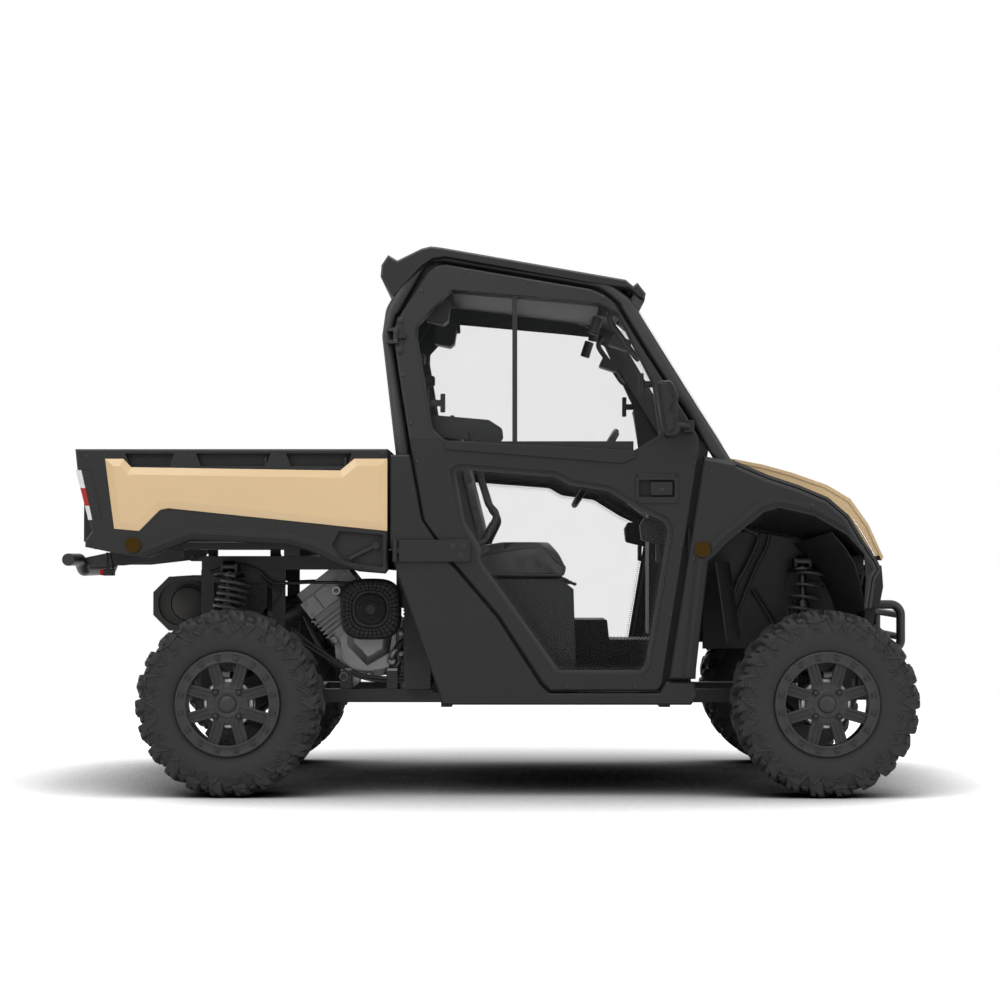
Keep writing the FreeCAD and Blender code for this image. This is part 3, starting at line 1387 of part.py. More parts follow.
def make_seats():
    """Two seats: base box, cushions, backs with headrests, and side hoops."""
    floor_top = rail_base + rail_size + floor_thick + 2 * seat_gap
    outline = [(x, max(z, floor_top) if z > sill_height else floor_top)
               for x, z in cab(seat_box_shares)]
    base = plate(outline, -seat_outer, seat_outer)
    cushions = []
    backs = []
    for side in (-1, 1):
        y0, y1 = sorted((side * seat_half_gap, side * seat_outer))
        cushions.append(plate(cab(seat_shares), y0, y1, overrun / 2))
        backs.append(plate(cab(back_shares), y0, y1, overrun / 2))
    spots = [vec(x, -(seat_outer + hoop_gap), z) for x, z in cab(hoop_shares)]
    hoop = tube(spots, hoop_radius, overrun)
    lug = block(spots[0].x - hoop_radius, spots[0].x + hoop_radius, spots[0].y,
                -(seat_outer + seat_gap), spots[0].z - hoop_radius, spots[0].z + hoop_radius)
    top_lug = block(spots[-1].x - overrun * 3, spots[-1].x, spots[-1].y - hoop_radius / 2,
                    spots[-1].y + hoop_radius / 2, spots[-1].z - hoop_radius,
                    spots[-1].z + hoop_radius)
    guard = plate(cab(headrest_shares), -(seat_outer + hoop_gap + hoop_radius / 2),
                  -(seat_outer + hoop_gap - hoop_radius / 2), overrun / 2)
    hoop = fused([hoop, lug, top_lug, guard])
    return (base, Part.makeCompound(cushions), Part.makeCompound(backs),
            Part.makeCompound([hoop, flipped(hoop)]))


def wheel_centre():
    x = cab_rear_x + cab_length * 0.690
    z = sill_height + cab_height * 0.538
    return vec(x, driver_side, z)


def column_axis():
    turn = math.radians(column_tilt)
    return vec(-math.cos(turn), 0, math.sin(turn))


def make_steering():
    """Steering wheel with three spokes, and its column into the dashboard."""
    centre = wheel_centre()
    axis = column_axis()
    rim = Part.makeTorus(wheel_rim_radius, wheel_rim_tube)
    hub = Part.makeCylinder(column_radius * 1.8, wheel_rim_tube * 2, vec(0, 0, -wheel_rim_tube * 2))
    spokes = []
    for turn in (0, 120, 240):
        spoke = block(0, wheel_rim_radius, -wheel_rim_tube, wheel_rim_tube, -wheel_rim_tube * 1.4,
                      -wheel_rim_tube * 0.4)
        spoke.rotate(vec(0, 0, 0), vec(0, 0, 1), turn)
        spokes.append(spoke)
    wheel = fused([rim, hub] + spokes)
    wheel.Placement = FreeCAD.Placement(centre, FreeCAD.Rotation(vec(0, 0, 1), axis))
    back = axis.multiply(-1)

    def along(distance):
        return centre.add(vec(back.x * distance, back.y * distance, back.z * distance))

    column = rod(along(wheel_rim_tube * 2 + seat_gap), along(column_length), column_radius)
    return wheel, column


def make_bed_tub():
    """Bed floor with sleepers and hinge leaves, and the front wall."""
    inner = body_half - bed_wall - seat_gap
    rear = bed_rear_x + bed_length * bed_floor_rear_share
    floor = block(rear, bed_front_x - clear_gap, -inner, inner, bed_floor_low, bed_floor_top)
    front = block(bed_front_x - bed_front_wall, bed_front_x, -inner, inner, bed_floor_low,
                  bed_top)
    sleepers = []
    for x in (bed_front_x - overrun * 3.2, rear_axle_x + overrun * 5.5):
        sleepers.append(block(x - sleeper_width / 2, x + sleeper_width / 2, -inner, inner,
                              upper_rail_top + seat_gap, bed_floor_low))
    leaves = []
    for side in (-1, 1):
        for edge in (-1, 1):
            y = side * upper_rail_half + edge * (hinge_leaf + bearing_gap * 2)
            leaves.append(block(bed_hinge_x - hinge_eye_radius, bed_hinge_x + hinge_eye_radius,
                                y - hinge_leaf / 2, y + hinge_leaf / 2, hinge_height,
                                bed_floor_low))
            leaves.append(disc_about_y(hinge_eye_radius, y - hinge_leaf / 2, y + hinge_leaf / 2,
                                       bed_hinge_x, hinge_height))
    whole = fused([floor, front] + sleepers + leaves)
    for side in (-1, 1):
        y = side * upper_rail_half
        whole = whole.cut(disc_about_y(hinge_pin_radius + bearing_gap, y - overrun, y + overrun,
                                       bed_hinge_x, hinge_height))
    high = strut_points()[1]
    ear = block(high.x - strut_eye_radius, high.x + strut_eye_radius,
                high.y - strut_eye_radius - frame_plate, high.y - strut_eye_radius,
                high.z - strut_pin_radius * 2, bed_floor_low)
    pin = disc_about_y(strut_pin_radius, high.y - strut_eye_radius - frame_plate / 2,
                       high.y + strut_eye_radius / 2, high.x, high.z)
    return fused([whole, ear, pin])


def make_bed_sides():
    """Double walled bed sides with three grab pockets under each top rail."""
    outline = bed(bed_side_shares)
    wall = bevelled(outline, -(body_half - bed_wall), -body_half, clear_gap)
    pockets = []
    for start, end in pocket_shares:
        x_left = bed_rear_x + bed_length * start
        x_right = bed_rear_x + bed_length * end
        high = bed_base + bed_height * 0.965
        low = bed_base + bed_height * 0.860
        pockets.append(plate([(x_left, high), (x_right, high), (x_right - pocket_slope, low),
                              (x_left + pocket_slope, low)], -body_half - overrun,
                             -body_half + pocket_depth))
    wall = wall.cut(Part.makeCompound(pockets))
    seat = plate(bed(insert_shares), -body_half - overrun, -body_half + insert_thick)
    wall = wall.cut(seat)
    lamp_cut = plate(bed(tail_lamp_shares), -body_half - overrun, -body_half + tail_lamp_thick)
    wall = wall.cut(lamp_cut)
    recess = bed(latch_shares)
    face = -body_half
    floor = face + latch_depth
    clip = plate(shrunk(outline, clear_gap), face - overrun, face + overrun)
    clip = clip.cut(plate(shrunk(recess, -clear_gap), face - overrun, face + overrun))
    x, z = bed(bed_marker_shares)[0]
    clip = clip.cut(disc_about_y(marker_radius + clear_gap, face - overrun, face + overrun, x, z))
    lip = raised_lip(bed(bed_arch_shares), clip, face)
    wall = wall.cut(plate(recess, face - overrun, floor, clear_gap))
    (low_x, low_z), (high_x, high_z) = bed(lever_shares)
    lever_y = face + latch_depth / 2
    lever = [rod(vec(low_x, lever_y, low_z), vec(high_x, lever_y, high_z), lever_radius),
             disc_about_y(lever_radius * 1.5, face, floor, high_x, high_z)]
    wall = fused([wall] + lip + lever)
    return Part.makeCompound([wall, flipped(wall)])


def make_inserts():
    """Coloured side panels that fill the recess of each bed side."""
    outline = shrunk(bed(insert_shares), 1.5 * seat_gap)
    panel = plate(outline, -body_half - clear_gap / 3, -body_half + insert_thick - seat_gap)
    face = -body_half - clear_gap / 3
    wires = [outline_wire(shrunk(outline, seat_gap), face, 0),
             outline_wire(shrunk(outline, insert_chamfer), face - insert_rise, 0)]
    panel = fused([panel, Part.makeLoft(wires, True, True)])
    return Part.makeCompound([panel, flipped(panel)])


def make_tail_lamps():
    outline = shrunk(bed(tail_lamp_shares), 1.5 * seat_gap)
    lamp = plate(outline, -body_half + seat_gap, -body_half + tail_lamp_thick - seat_gap)
    return Part.makeCompound([lamp, flipped(lamp)])


def gate_line():
    """Hinge line of the tailgate along the rear edge of the bed floor."""
    return vec(bed_rear_x + bed_length * 0.034, 0, bed_floor_low + bed_floor_thick / 2)


def make_tailgate():
    inner = body_half - bed_wall - clear_gap
    line = gate_line()
    x0 = line.x - tailgate_thick / 2
    low = line.z + gate_barrel + clear_gap
    gate = block(x0, x0 + tailgate_thick, -inner, inner, low, bed_top - clear_gap)
    panel = []
    for i in range(3):
        y = (i - 1) * inner * 0.62
        panel.append(block(x0 - overrun, x0 + clear_gap, y - inner * 0.25, y + inner * 0.25,
                           bed_floor_top + overrun, bed_top - overrun * 2))
    gate = gate.cut(Part.makeCompound(panel))
    handle = block(x0 - clear_gap, x0 + clear_gap, -overrun * 2.5, overrun * 2.5,
                   bed_top - overrun * 1.7, bed_top - overrun)
    barrels = []
    for side in (-1, 0, 1):
        y = side * inner * gate_hinge_share
        barrels.append(disc_about_y(gate_barrel, y - overrun, y + overrun, line.x, line.z))
        barrels.append(block(line.x - gate_barrel, line.x + gate_barrel, y - overrun,
                             y + overrun, line.z, low))
    return fused([gate, handle] + barrels)


def make_gate_hinges():
    """Bed side barrels of the tailgate hinge, on the edge of the floor."""
    inner = body_half - bed_wall - clear_gap
    line = gate_line()
    rear = bed_rear_x + bed_length * bed_floor_rear_share
    pieces = []
    for side in (-1, 0, 1):
        for edge in (-1, 1):
            y = side * inner * gate_hinge_share + edge * (overrun * 1.5 + seat_gap)
            y0, y1 = y - overrun / 2, y + overrun / 2
            pieces.append(disc_about_y(gate_barrel, y0, y1, line.x, line.z))
            pieces.append(block(line.x, rear + clear_gap, y0, y1, line.z - gate_barrel,
                                line.z))
    return pieces


def make_rear_bumper():
    """Drop-centre rear tube on two plates under the bed's overhang."""
    x = bed_rear_x - bumper_out
    z = bed_base + bed_height * 0.112
    drop = overrun
    spots = [vec(x, -bumper_reach, z), vec(x, -bumper_reach * 0.62, z),
             vec(x, -bumper_reach * 0.50, z - drop), vec(x, bumper_reach * 0.50, z - drop),
             vec(x, bumper_reach * 0.62, z), vec(x, bumper_reach, z)]
    bar = tube(spots, bumper_tube_radius, drop * 2)
    y = upper_rail_half + overrun
    strap = plate([(x, z - bumper_tube_radius), (x, z + bumper_tube_radius * 0.2),
                   (x + overrun * 4, bed_floor_low), (bed_hinge_x - overrun * 0.8, bed_floor_low),
                   (bed_hinge_x - overrun * 0.8, hinge_height - 0.2 * overrun),
                   (x + overrun * 4, z - bumper_tube_radius)],
                  -y, -y + frame_plate)
    return fused([bar, strap, flipped(strap)])


def make_strut():
    """Gas strut under the bed: barrel on the frame, rod to the bed."""
    low, high = strut_points()
    axis = high.sub(low)
    length = axis.Length
    axis.normalize()

    def along(distance):
        return low.add(vec(axis.x * distance, axis.y * distance, axis.z * distance))

    half = strut_eye_radius / 2
    eye = disc_about_y(strut_eye_radius * 0.8, low.y - half, low.y + half, low.x, low.z)
    barrel = fused([eye, rod(along(strut_eye_radius * 0.6), along(strut_barrel_length),
                             strut_barrel_radius)])
    barrel = barrel.cut(disc_about_y(strut_pin_radius + bearing_gap, low.y - overrun,
                                     low.y + overrun, low.x, low.z))
    bore = rod(along(strut_eye_radius), along(strut_barrel_length + overrun),
               strut_rod_radius + bearing_gap)
    barrel = barrel.cut(bore)
    top_eye = disc_about_y(strut_eye_radius, high.y - half, high.y + half, high.x, high.z)
    stem = fused([top_eye, rod(along(strut_eye_radius * 1.3), along(length - strut_eye_radius * 0.8),
                               strut_rod_radius)])
    stem = stem.cut(disc_about_y(strut_eye_radius * 0.65, high.y - overrun, high.y + overrun,
                                 high.x, high.z))
    return barrel, stem


def make_mirror():
    """Right mirror on its arm, clamped to the door's front window post."""
    x, z = cab([(0.905, 0.600)])[0]
    y = -side_y(z)
    head_y = -(body_half + mirror_out)
    clamp = block(x - overrun / 2, x + overrun / 2, y - overrun / 2, y + clear_gap,
                  z - overrun / 2, z + overrun / 2)
    arm = rod(vec(x, y - overrun / 3, z), vec(x - overrun * 2, head_y, z + overrun),
              mirror_arm_radius)
    head = plate([(x - overrun * 3.2, z - overrun), (x - overrun * 0.9, z - overrun),
                  (x - overrun * 0.4, z + overrun * 2.2), (x - overrun * 1.4, z + overrun * 4.2),
                  (x - overrun * 3.4, z + overrun * 3.6)],
                 head_y - mirror_width / 2, head_y + mirror_width / 2, overrun / 2)
    return fused([clamp, arm, head])


def make_markers():
    """Round side reflectors: one on each front fender and one on each bed side."""
    x, z = nose(marker_shares)[0]
    front = disc_about_y(marker_radius, -fender_half - marker_rise, -fender_half - seat_gap, x, z)
    bx, bz = bed(bed_marker_shares)[0]
    rear = disc_about_y(marker_radius, -body_half - marker_rise, -body_half - seat_gap, bx, bz)
    return (Part.makeCompound([front, flipped(front)]), Part.makeCompound([rear, flipped(rear)]))


def all_nodes():
    nodes = make_wheels()
    nodes.update(make_chassis_nodes())
    nodes["suspension_arms"] = make_arms()
    nodes["dampers"], nodes["springs"] = make_shocks()
    nodes["knuckle_front_right"] = make_knuckle(front_axle_x, True)
    nodes["knuckle_front_left"] = flipped(nodes["knuckle_front_right"])
    nodes["rear_knuckles"] = make_rear_knuckles()
    nodes["drive_units"] = make_drive()
    nodes["steering_rack"] = make_rack()
    nodes["floor_pan"] = make_floor()
    uppers = hinge_brackets()
    cage = make_cage(0)
    sleeve = make_cage(seat_gap)
    nodes["cab_cage"] = fused([cage] + list(uppers) + [flipped(s) for s in uppers])
    nodes["roof"] = largest(make_roof().cut(sleeve))
    nodes["windshield"] = make_windshield()
    nodes["rear_wall"], nodes["rear_window"] = make_rear_wall()
    nodes["side_panels"] = make_side_panels()
    nodes["dashboard"] = make_dash()
    right = largest(make_fenders().cut(sleeve))
    nodes["front_fenders"] = Part.makeCompound([right, flipped(right)])
    nodes["hood"] = make_hood()
    nodes["front_fascia"], nodes["headlamps"] = make_fascia()
    nodes["front_bumper"] = make_front_bumper()
    nodes["engine"] = make_engine()
    nodes["fan_cover"] = make_fan_cover()
    nodes["muffler"], pipe = make_muffler()
    nodes["exhaust_pipe"] = largest(pipe.cut(nodes["muffler"]).cut(nodes["engine"]))
    (nodes["seat_base"], nodes["seat_cushions"], nodes["seat_backs"],
     nodes["seat_guards"]) = make_seats()
    nodes["steering_wheel"], nodes["steering_column"] = make_steering()
    door = make_door()
    upper, lower = make_door_glass()
    door = door.cut(upper)
    nodes["door_right"] = door
    nodes["door_left"] = flipped(door)
    nodes["door_glass_right"] = Part.makeCompound([upper, lower])
    nodes["door_glass_left"] = Part.makeCompound([flipped(upper), flipped(lower)])
    mirror = largest(make_mirror().cut(door))
    nodes["mirror_right"] = mirror
    nodes["mirror_left"] = flipped(mirror)
    nodes["bed_tub"] = fused([make_bed_tub()] + make_gate_hinges())
    nodes["bed_sides"] = make_bed_sides()
    nodes["bed_inserts"] = make_inserts()
    nodes["tail_lamps"] = make_tail_lamps()
    nodes["rear_bumper"] = make_rear_bumper()
    nodes["tailgate"] = make_tailgate()
    nodes["strut_barrel"], nodes["strut_rod"] = make_strut()
    nodes["fender_markers"], nodes["bed_markers"] = make_markers()
    return nodes


os.makedirs("parts", exist_ok=True)
for name, shape in all_nodes().items():
    shape.exportStep("parts/" + name + ".step")
    print(name, len(shape.Solids), shape.isValid())
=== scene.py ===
import bmesh
import bpy
import json
import math
import numpy as np
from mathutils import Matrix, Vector
from mathutils.bvhtree import BVHTree

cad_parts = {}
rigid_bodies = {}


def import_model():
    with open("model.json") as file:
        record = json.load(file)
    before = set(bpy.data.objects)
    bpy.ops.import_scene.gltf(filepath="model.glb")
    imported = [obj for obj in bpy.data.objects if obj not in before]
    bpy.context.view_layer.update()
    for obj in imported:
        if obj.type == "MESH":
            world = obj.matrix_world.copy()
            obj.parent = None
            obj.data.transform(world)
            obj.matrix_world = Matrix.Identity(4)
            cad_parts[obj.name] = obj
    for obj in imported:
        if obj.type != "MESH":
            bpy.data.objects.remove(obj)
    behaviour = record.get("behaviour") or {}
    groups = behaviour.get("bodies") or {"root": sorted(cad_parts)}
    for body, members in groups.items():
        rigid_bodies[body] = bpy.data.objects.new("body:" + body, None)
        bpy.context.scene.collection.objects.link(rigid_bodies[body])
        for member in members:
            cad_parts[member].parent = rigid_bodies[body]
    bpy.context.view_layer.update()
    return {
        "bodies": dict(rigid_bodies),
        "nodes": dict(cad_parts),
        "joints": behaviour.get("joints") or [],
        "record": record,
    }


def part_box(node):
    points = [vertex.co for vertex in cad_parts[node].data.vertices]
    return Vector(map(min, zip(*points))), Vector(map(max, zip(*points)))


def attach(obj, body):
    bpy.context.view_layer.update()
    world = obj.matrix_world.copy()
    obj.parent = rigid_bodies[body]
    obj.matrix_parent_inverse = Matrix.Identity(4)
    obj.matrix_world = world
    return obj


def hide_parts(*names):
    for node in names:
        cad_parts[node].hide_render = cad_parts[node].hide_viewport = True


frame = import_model()
nodes = frame["nodes"]
print("frame loaded:", len(nodes), "nodes")

stage = {
    "cameraPlace": (0.0925, -9.21, 0.876),   # metres, in the vehicle's frame
    "pitchUp": 1.352,                        # degrees
    "yawLeft": 0.320,                        # degrees
    "focalLength": 83.88,                    # for a 36 mm wide sensor
    "floorSize": 80.0,
    "floorWhiteFrom": 3.4,                   # metres from the middle to the plain white floor
    "shadowReach": 1.9,                      # how far from the vehicle the soft shadow painted on the floor spreads
    "skyStrength": 0.36,
    "lamps": [                               # place, aim, size, power
        ((0.0, -1.2, 6.0), (0.0, 0.0, 0.8), 4.2, 260.0),
        ((-3.0, -5.0, 4.2), (0.0, -0.4, 0.8), 3.0, 120.0),
        ((4.8, -3.6, 3.0), (0.6, 0.0, 0.8), 2.6, 90.0),
        ((0.0, 5.2, 4.6), (0.0, 0.2, 1.0), 3.2, 110.0),
        ((-5.0, 0.4, 2.6), (-0.8, 0.0, 0.9), 2.4, 60.0),
    ],
}


# Shader maths: a value is a socket of a material's node tree, or a plain number

class Value:
    def __init__(self, shader, socket):
        self.shader = shader
        self.socket = socket

    def math(self, operation, *others):
        return self.shader.node("Math", {"operation": operation}, *([self] + list(others)))

    def __add__(self, other):
        return self.math("ADD", other)

    __radd__ = __add__

    def __mul__(self, other):
        return self.math("MULTIPLY", other)

    __rmul__ = __mul__

    def __sub__(self, other):
        return self.math("SUBTRACT", other)

    def __rsub__(self, other):
        return self.shader.node("Math", {"operation": "SUBTRACT"}, other, self)

    def __truediv__(self, other):
        return self.math("DIVIDE", other)

    def __gt__(self, other):
        return self.math("GREATER_THAN", other)

    def __lt__(self, other):
        return self.math("LESS_THAN", other)

    def power(self, other):
        return self.math("POWER", other)

    def clamped(self):
        return self.shader.node("Clamp", {}, self)

    def wave(self):
        return self.math("SINE")


class Shader:
    # One material and its node tree; every node comes from the method node()
    def __init__(self, name):
        self.material = bpy.data.materials.new(name)
        self.material.use_nodes = True
        self.tree = self.material.node_tree
        self.tree.nodes.clear()
        self.coords = self.node("TexCoord", {}, out="Object")

    def node(self, kind, settings, *values, out=0, **named):
        made = self.tree.nodes.new("ShaderNode" + kind)
        stops = settings.pop("stops", None)
        for key, setting in settings.items():
            setattr(made, key, setting)
        if stops:
            ramp = made.color_ramp
            while len(ramp.elements) < len(stops):
                ramp.elements.new(0.5)
            for element, (place, colour) in zip(ramp.elements, stops):
                element.position = place
                element.color = colour if len(colour) == 4 else (*colour, 1.0)
        pairs = list(enumerate(values)) + [(k.replace("_", " "), v) for k, v in named.items()]
        for key, value in pairs:
            self.feed(made.inputs[key], value)
        return Value(self, made.outputs[out]) if made.outputs else None

    def feed(self, socket, value):
        if value is None:
            return
        if isinstance(value, Value):
            self.tree.links.new(value.socket, socket)
        elif socket.type == "RGBA" and len(value) == 3:
            socket.default_value = (*value, 1.0)
        else:
            socket.default_value = value

    def noise(self, scale, detail=2.0, rough=0.5):
        return self.node("TexNoise", {}, Vector=self.coords, Scale=scale, Detail=detail,
                         Roughness=rough)

    def cells(self, scale, feature="F1", out="Distance"):
        return self.node("TexVoronoi", {"feature": feature}, out=out, Vector=self.coords,
                         Scale=scale)

    def place(self, axis):
        return self.node("SeparateXYZ", {}, self.coords, out=axis)

    def mix(self, share, low, high):
        made = self.tree.nodes.new("ShaderNodeMix")
        made.data_type = "RGBA"
        for index, value in ((0, share), (6, low), (7, high)):
            self.feed(made.inputs[index], value)
        return Value(self, made.outputs[2])

    def softEdges(self, radius, normal=None):
        return self.node("Bevel", {"samples": 4}, out="Normal", Radius=radius, Normal=normal)

    def bump(self, height, strength, distance, normal=None):
        return self.node("Bump", {}, out="Normal", Height=height, Strength=strength,
                         Distance=distance, Normal=normal)

    def finish(self, base, rough, metal=0.0, normal=None, **constants):
        body = self.node("BsdfPrincipled", {}, out="BSDF", Base_Color=base, Roughness=rough,
                         Metallic=metal, Normal=normal, **constants)
        self.node("OutputMaterial", {}, body)
        return self.material


def charcoal(level):
    # a neutral grey with a trace of blue, as the moulded parts have
    return (level, level, level * 1.02)


def mouldedPlastic(name, level=0.0098, grain=0.35, edge=0.0035):
    # fine leather-like grain, faint cloudy dust, edges that catch light
    s = Shader(name)
    pebble = s.cells(420.0) + s.noise(900.0) * 0.5
    dust = s.noise(3.1, 6.0, 0.62)
    speck = s.noise(46.0, 3.0)
    share = dust * 0.7 + speck * 0.3
    colour = s.mix(share.clamped(), charcoal(level * 0.86), charcoal(level * 1.22))
    rough = 0.46 + share * 0.16
    normal = s.softEdges(edge)
    return s.finish(colour, rough, normal=s.bump(pebble, grain, 0.0004, normal),
                    Specular_IOR_Level=0.27)


def tanPlastic(name):
    s = Shader(name)
    cloud = s.noise(2.3, 4.0)
    speck = s.noise(150.0, 3.0)
    share = cloud * 0.75 + speck * 0.25
    colour = s.mix(share.clamped(), (0.560, 0.395, 0.210), (0.640, 0.462, 0.258))
    peel = s.noise(240.0, 2.0)
    return s.finish(colour, 0.34 + speck * 0.08, normal=s.bump(peel, 0.10, 0.0003,
                    s.softEdges(0.003)), Coat_Weight=0.25, Coat_Roughness=0.12)


def powderCoat(name, level=0.012, edge=0.002):
    # orange-peel paint on steel tube, a little chalky in cloudy patches
    s = Shader(name)
    peel = s.noise(330.0, 2.0) + s.noise(80.0, 2.0) * 0.4
    dust = s.noise(5.0, 5.0, 0.6)
    colour = s.mix(dust, charcoal(level * 0.85), charcoal(level * 1.5))
    return s.finish(colour, 0.38 + dust * 0.18, metal=0.0,
                    normal=s.bump(peel, 0.14, 0.0005, s.softEdges(edge)), Specular_IOR_Level=0.36)


def castMetal(name, level=0.25, rough=0.42, metal=0.85):
    # sand-cast alloy: pitted skin and darker cloudy patches
    s = Shader(name)
    pits = s.noise(520.0, 4.0, 0.7)
    cloud = s.noise(14.0, 5.0, 0.6)
    colour = s.mix(cloud, charcoal(level * 0.62), charcoal(level * 1.15))
    return s.finish(colour, rough + cloud * 0.14, metal=metal,
                    normal=s.bump(pits, 0.35, 0.0004, s.softEdges(0.002)))


def heatBlack(name, level=0.026):
    s = Shader(name)
    scale = s.noise(260.0, 3.0, 0.6)
    scorch = s.noise(9.0, 5.0, 0.6)
    colour = s.mix(scorch, charcoal(level * 0.7), (level * 1.9, level * 1.75, level * 1.6))
    return s.finish(colour, 0.50 + scorch * 0.2, metal=0.4,
                    normal=s.bump(scale, 0.2, 0.0003, s.softEdges(0.002)))


def plated(name, colour=(0.36, 0.36, 0.37), rough=0.24):
    s = Shader(name)
    streak = s.noise(60.0, 4.0, 0.7)
    tint = s.mix(streak, tuple(c * 0.8 for c in colour), tuple(min(c * 1.2, 1) for c in colour))
    return s.finish(tint, rough + streak * 0.16, metal=0.95,
                    normal=s.bump(streak, 0.05, 0.0002, s.softEdges(0.001)))


def tyreRubber(name):
    # dusty matt rubber with a fine bloom
    s = Shader(name)
    bloom = s.noise(7.0, 6.0, 0.65)
    fine = s.noise(620.0, 3.0, 0.6)
    colour = s.mix(bloom, (0.013, 0.013, 0.013), (0.026, 0.026, 0.0255))
    return s.finish(colour, 0.62 + bloom * 0.16, normal=s.bump(fine, 0.25, 0.0004),
                    Specular_IOR_Level=0.28)


def vinyl(name):
    # grained seat cover with creases between its pores
    s = Shader(name)
    pores = s.cells(360.0, "F2")
    folds = s.noise(24.0, 4.0, 0.6)
    wear = s.noise(6.0, 5.0, 0.6)
    colour = s.mix(wear, (0.011, 0.011, 0.0115), (0.022, 0.022, 0.0225))
    return s.finish(colour, 0.44 + wear * 0.18,
                    normal=s.bump(pores + folds * 0.6, 0.35, 0.0009), Sheen_Weight=0.06)


def clearSheet(name, tint=(0.030, 0.034, 0.036), low=0.045, high=0.05, edge=0.16):
    # window: a smoke tint that deepens above the door's rail and at a grazing angle
    s = Shader(name)
    facing = s.node("LayerWeight", {}, out="Facing", Blend=0.35)
    smear = s.noise(8.0, 4.0, 0.6)
    upper = s.place("Z") > 1.27
    alpha = (upper * (high - low) + facing.power(2.2) * edge + smear * 0.02 + low).clamped()
    return s.finish(tint, 0.03 + smear * 0.03, Alpha=alpha, Specular_IOR_Level=0.25)


def lens(name, tint=(0.86, 0.88, 0.90), alpha=0.45, ribs=95.0):
    # moulded lamp cover with upright flutes
    s = Shader(name)
    flutes = (s.place("Z") * ribs).wave() * 0.5 + (s.place("X") * ribs * 2.0).wave() * 0.25
    facing = s.node("LayerWeight", {}, out="Facing", Blend=0.4)
    return s.finish(tint, 0.08 + facing * 0.05, Alpha=(alpha + facing * 0.4).clamped(),
                    normal=s.bump(flutes, 0.35, 0.002), Specular_IOR_Level=0.7)


def reflectorLens(name, dark=(0.022, 0.0105, 0.0), bright=(0.046, 0.023, 0.0)):
    # prism field behind a smooth face, brighter towards the rim of each cell
    s = Shader(name)
    prism = s.node("TexVoronoi", {"feature": "DISTANCE_TO_EDGE"}, out="Distance",
                   Vector=s.coords, Scale=260.0)
    colour = s.mix((prism * 2.2).clamped(), bright, dark)
    return s.finish(colour, 0.18 + prism * 0.2, normal=s.bump(prism, 0.3, 0.0006,
                    s.softEdges(0.0015)), Specular_IOR_Level=0.10)


def tailLampLens(name):
    # clear at the rear corner with a red band inside, dark housing further forward
    s = Shader(name)
    edge = s.place("X") + (1.186 - s.place("Z")) * -0.224 + 1.4955
    body = edge > 0.015
    height = s.place("Z")
    red = (height > 1.055) * (height < 1.120)
    flutes = (height * 420.0).wave() * 0.5
    clear = s.mix(red, (0.60, 0.61, 0.62), (0.34, 0.020, 0.016))
    colour = s.mix(body, clear, (0.0098, 0.0098, 0.0100))
    return s.finish(colour, body * 0.35 + 0.16, normal=s.bump(flutes, 0.25, 0.0012,
                    s.softEdges(0.003)), Specular_IOR_Level=0.27)


def hoseRubber(name, level=0.016):
    s = Shader(name)
    fine = s.noise(500.0, 3.0)
    cloud = s.noise(12.0, 4.0)
    colour = s.mix(cloud, charcoal(level * 0.8), charcoal(level * 1.5))
    return s.finish(colour, 0.55 + cloud * 0.12, normal=s.bump(fine, 0.15, 0.0003))


materials = {
    "moulded_black": mouldedPlastic("mouldedBlack"),
    "frame_black": powderCoat("frameBlack"),
    "tyre_rubber": tyreRubber("tyreRubber"),
    "rim_black": powderCoat("rimBlack", 0.014, 0.0015),
    "tan_panel": tanPlastic("tanPanel"),
    "clear_glass": clearSheet("clearGlass"),
    "cast_aluminium": castMetal("castAluminium"),
    "black_metal": heatBlack("blackMetal"),
    "seat_vinyl": vinyl("seatVinyl"),
    "lamp_clear": lens("lampClear"),
    "amber_lens": reflectorLens("amberLens"),
    # painted light: the spring coat is set almost four times lighter than the frame's black, so the
    # coils, which sit in shade, look lit
    "spring_black": powderCoat("springBlack", 0.045),
    "steel_grey": plated("steelGrey"),
}
extras = {
    # partly the drum's own cast metal and partly painted light: it is made pale to stand in for
    # light falling on the wheel's inside behind the spokes
    "drumGrey": castMetal("drumGrey", 0.50, 0.38, 0.7),
    "hose": hoseRubber("hoseRubber"),
    # painted shade: a near-black rubber for sheets that stand in for shade inside the nose
    "shadow": hoseRubber("shadowBlack", 0.0035),
    "piping": vinyl("pipingVinyl"),
    "pod": mouldedPlastic("podGrey", 0.026),
    "cover": mouldedPlastic("coverBlack", 0.026),
    "damper": plated("damperSteel", (0.045, 0.045, 0.047), 0.34),
    "seal": hoseRubber("sealRubber", 0.012),
    "bolt": plated("boltZinc", (0.20, 0.20, 0.205), 0.3),
    "boltDark": powderCoat("boltDark", 0.012, 0.0005),
    "mirrorGlass": plated("mirrorGlass", (0.75, 0.77, 0.78), 0.03),
    "redPlastic": reflectorLens("redLens", (0.22, 0.006, 0.004), (0.42, 0.012, 0.008)),
    "chrome": plated("lampChrome", (0.72, 0.73, 0.74), 0.12),
    "tailLamp": tailLampLens("tailLamp"),
}
for sub in frame["record"]["subparts"]:
    node = nodes[sub["node"]]
    node.data.materials.clear()
    node.data.materials.append(materials[sub["material_slot"]])
nodes["dampers"].data.materials[0] = extras["damper"]
nodes["tail_lamps"].data.materials[0] = extras["tailLamp"]
print("materials made:", len(materials) + len(extras))


# Mesh making: arrays of points and faces, joined and mirrored before they become objects

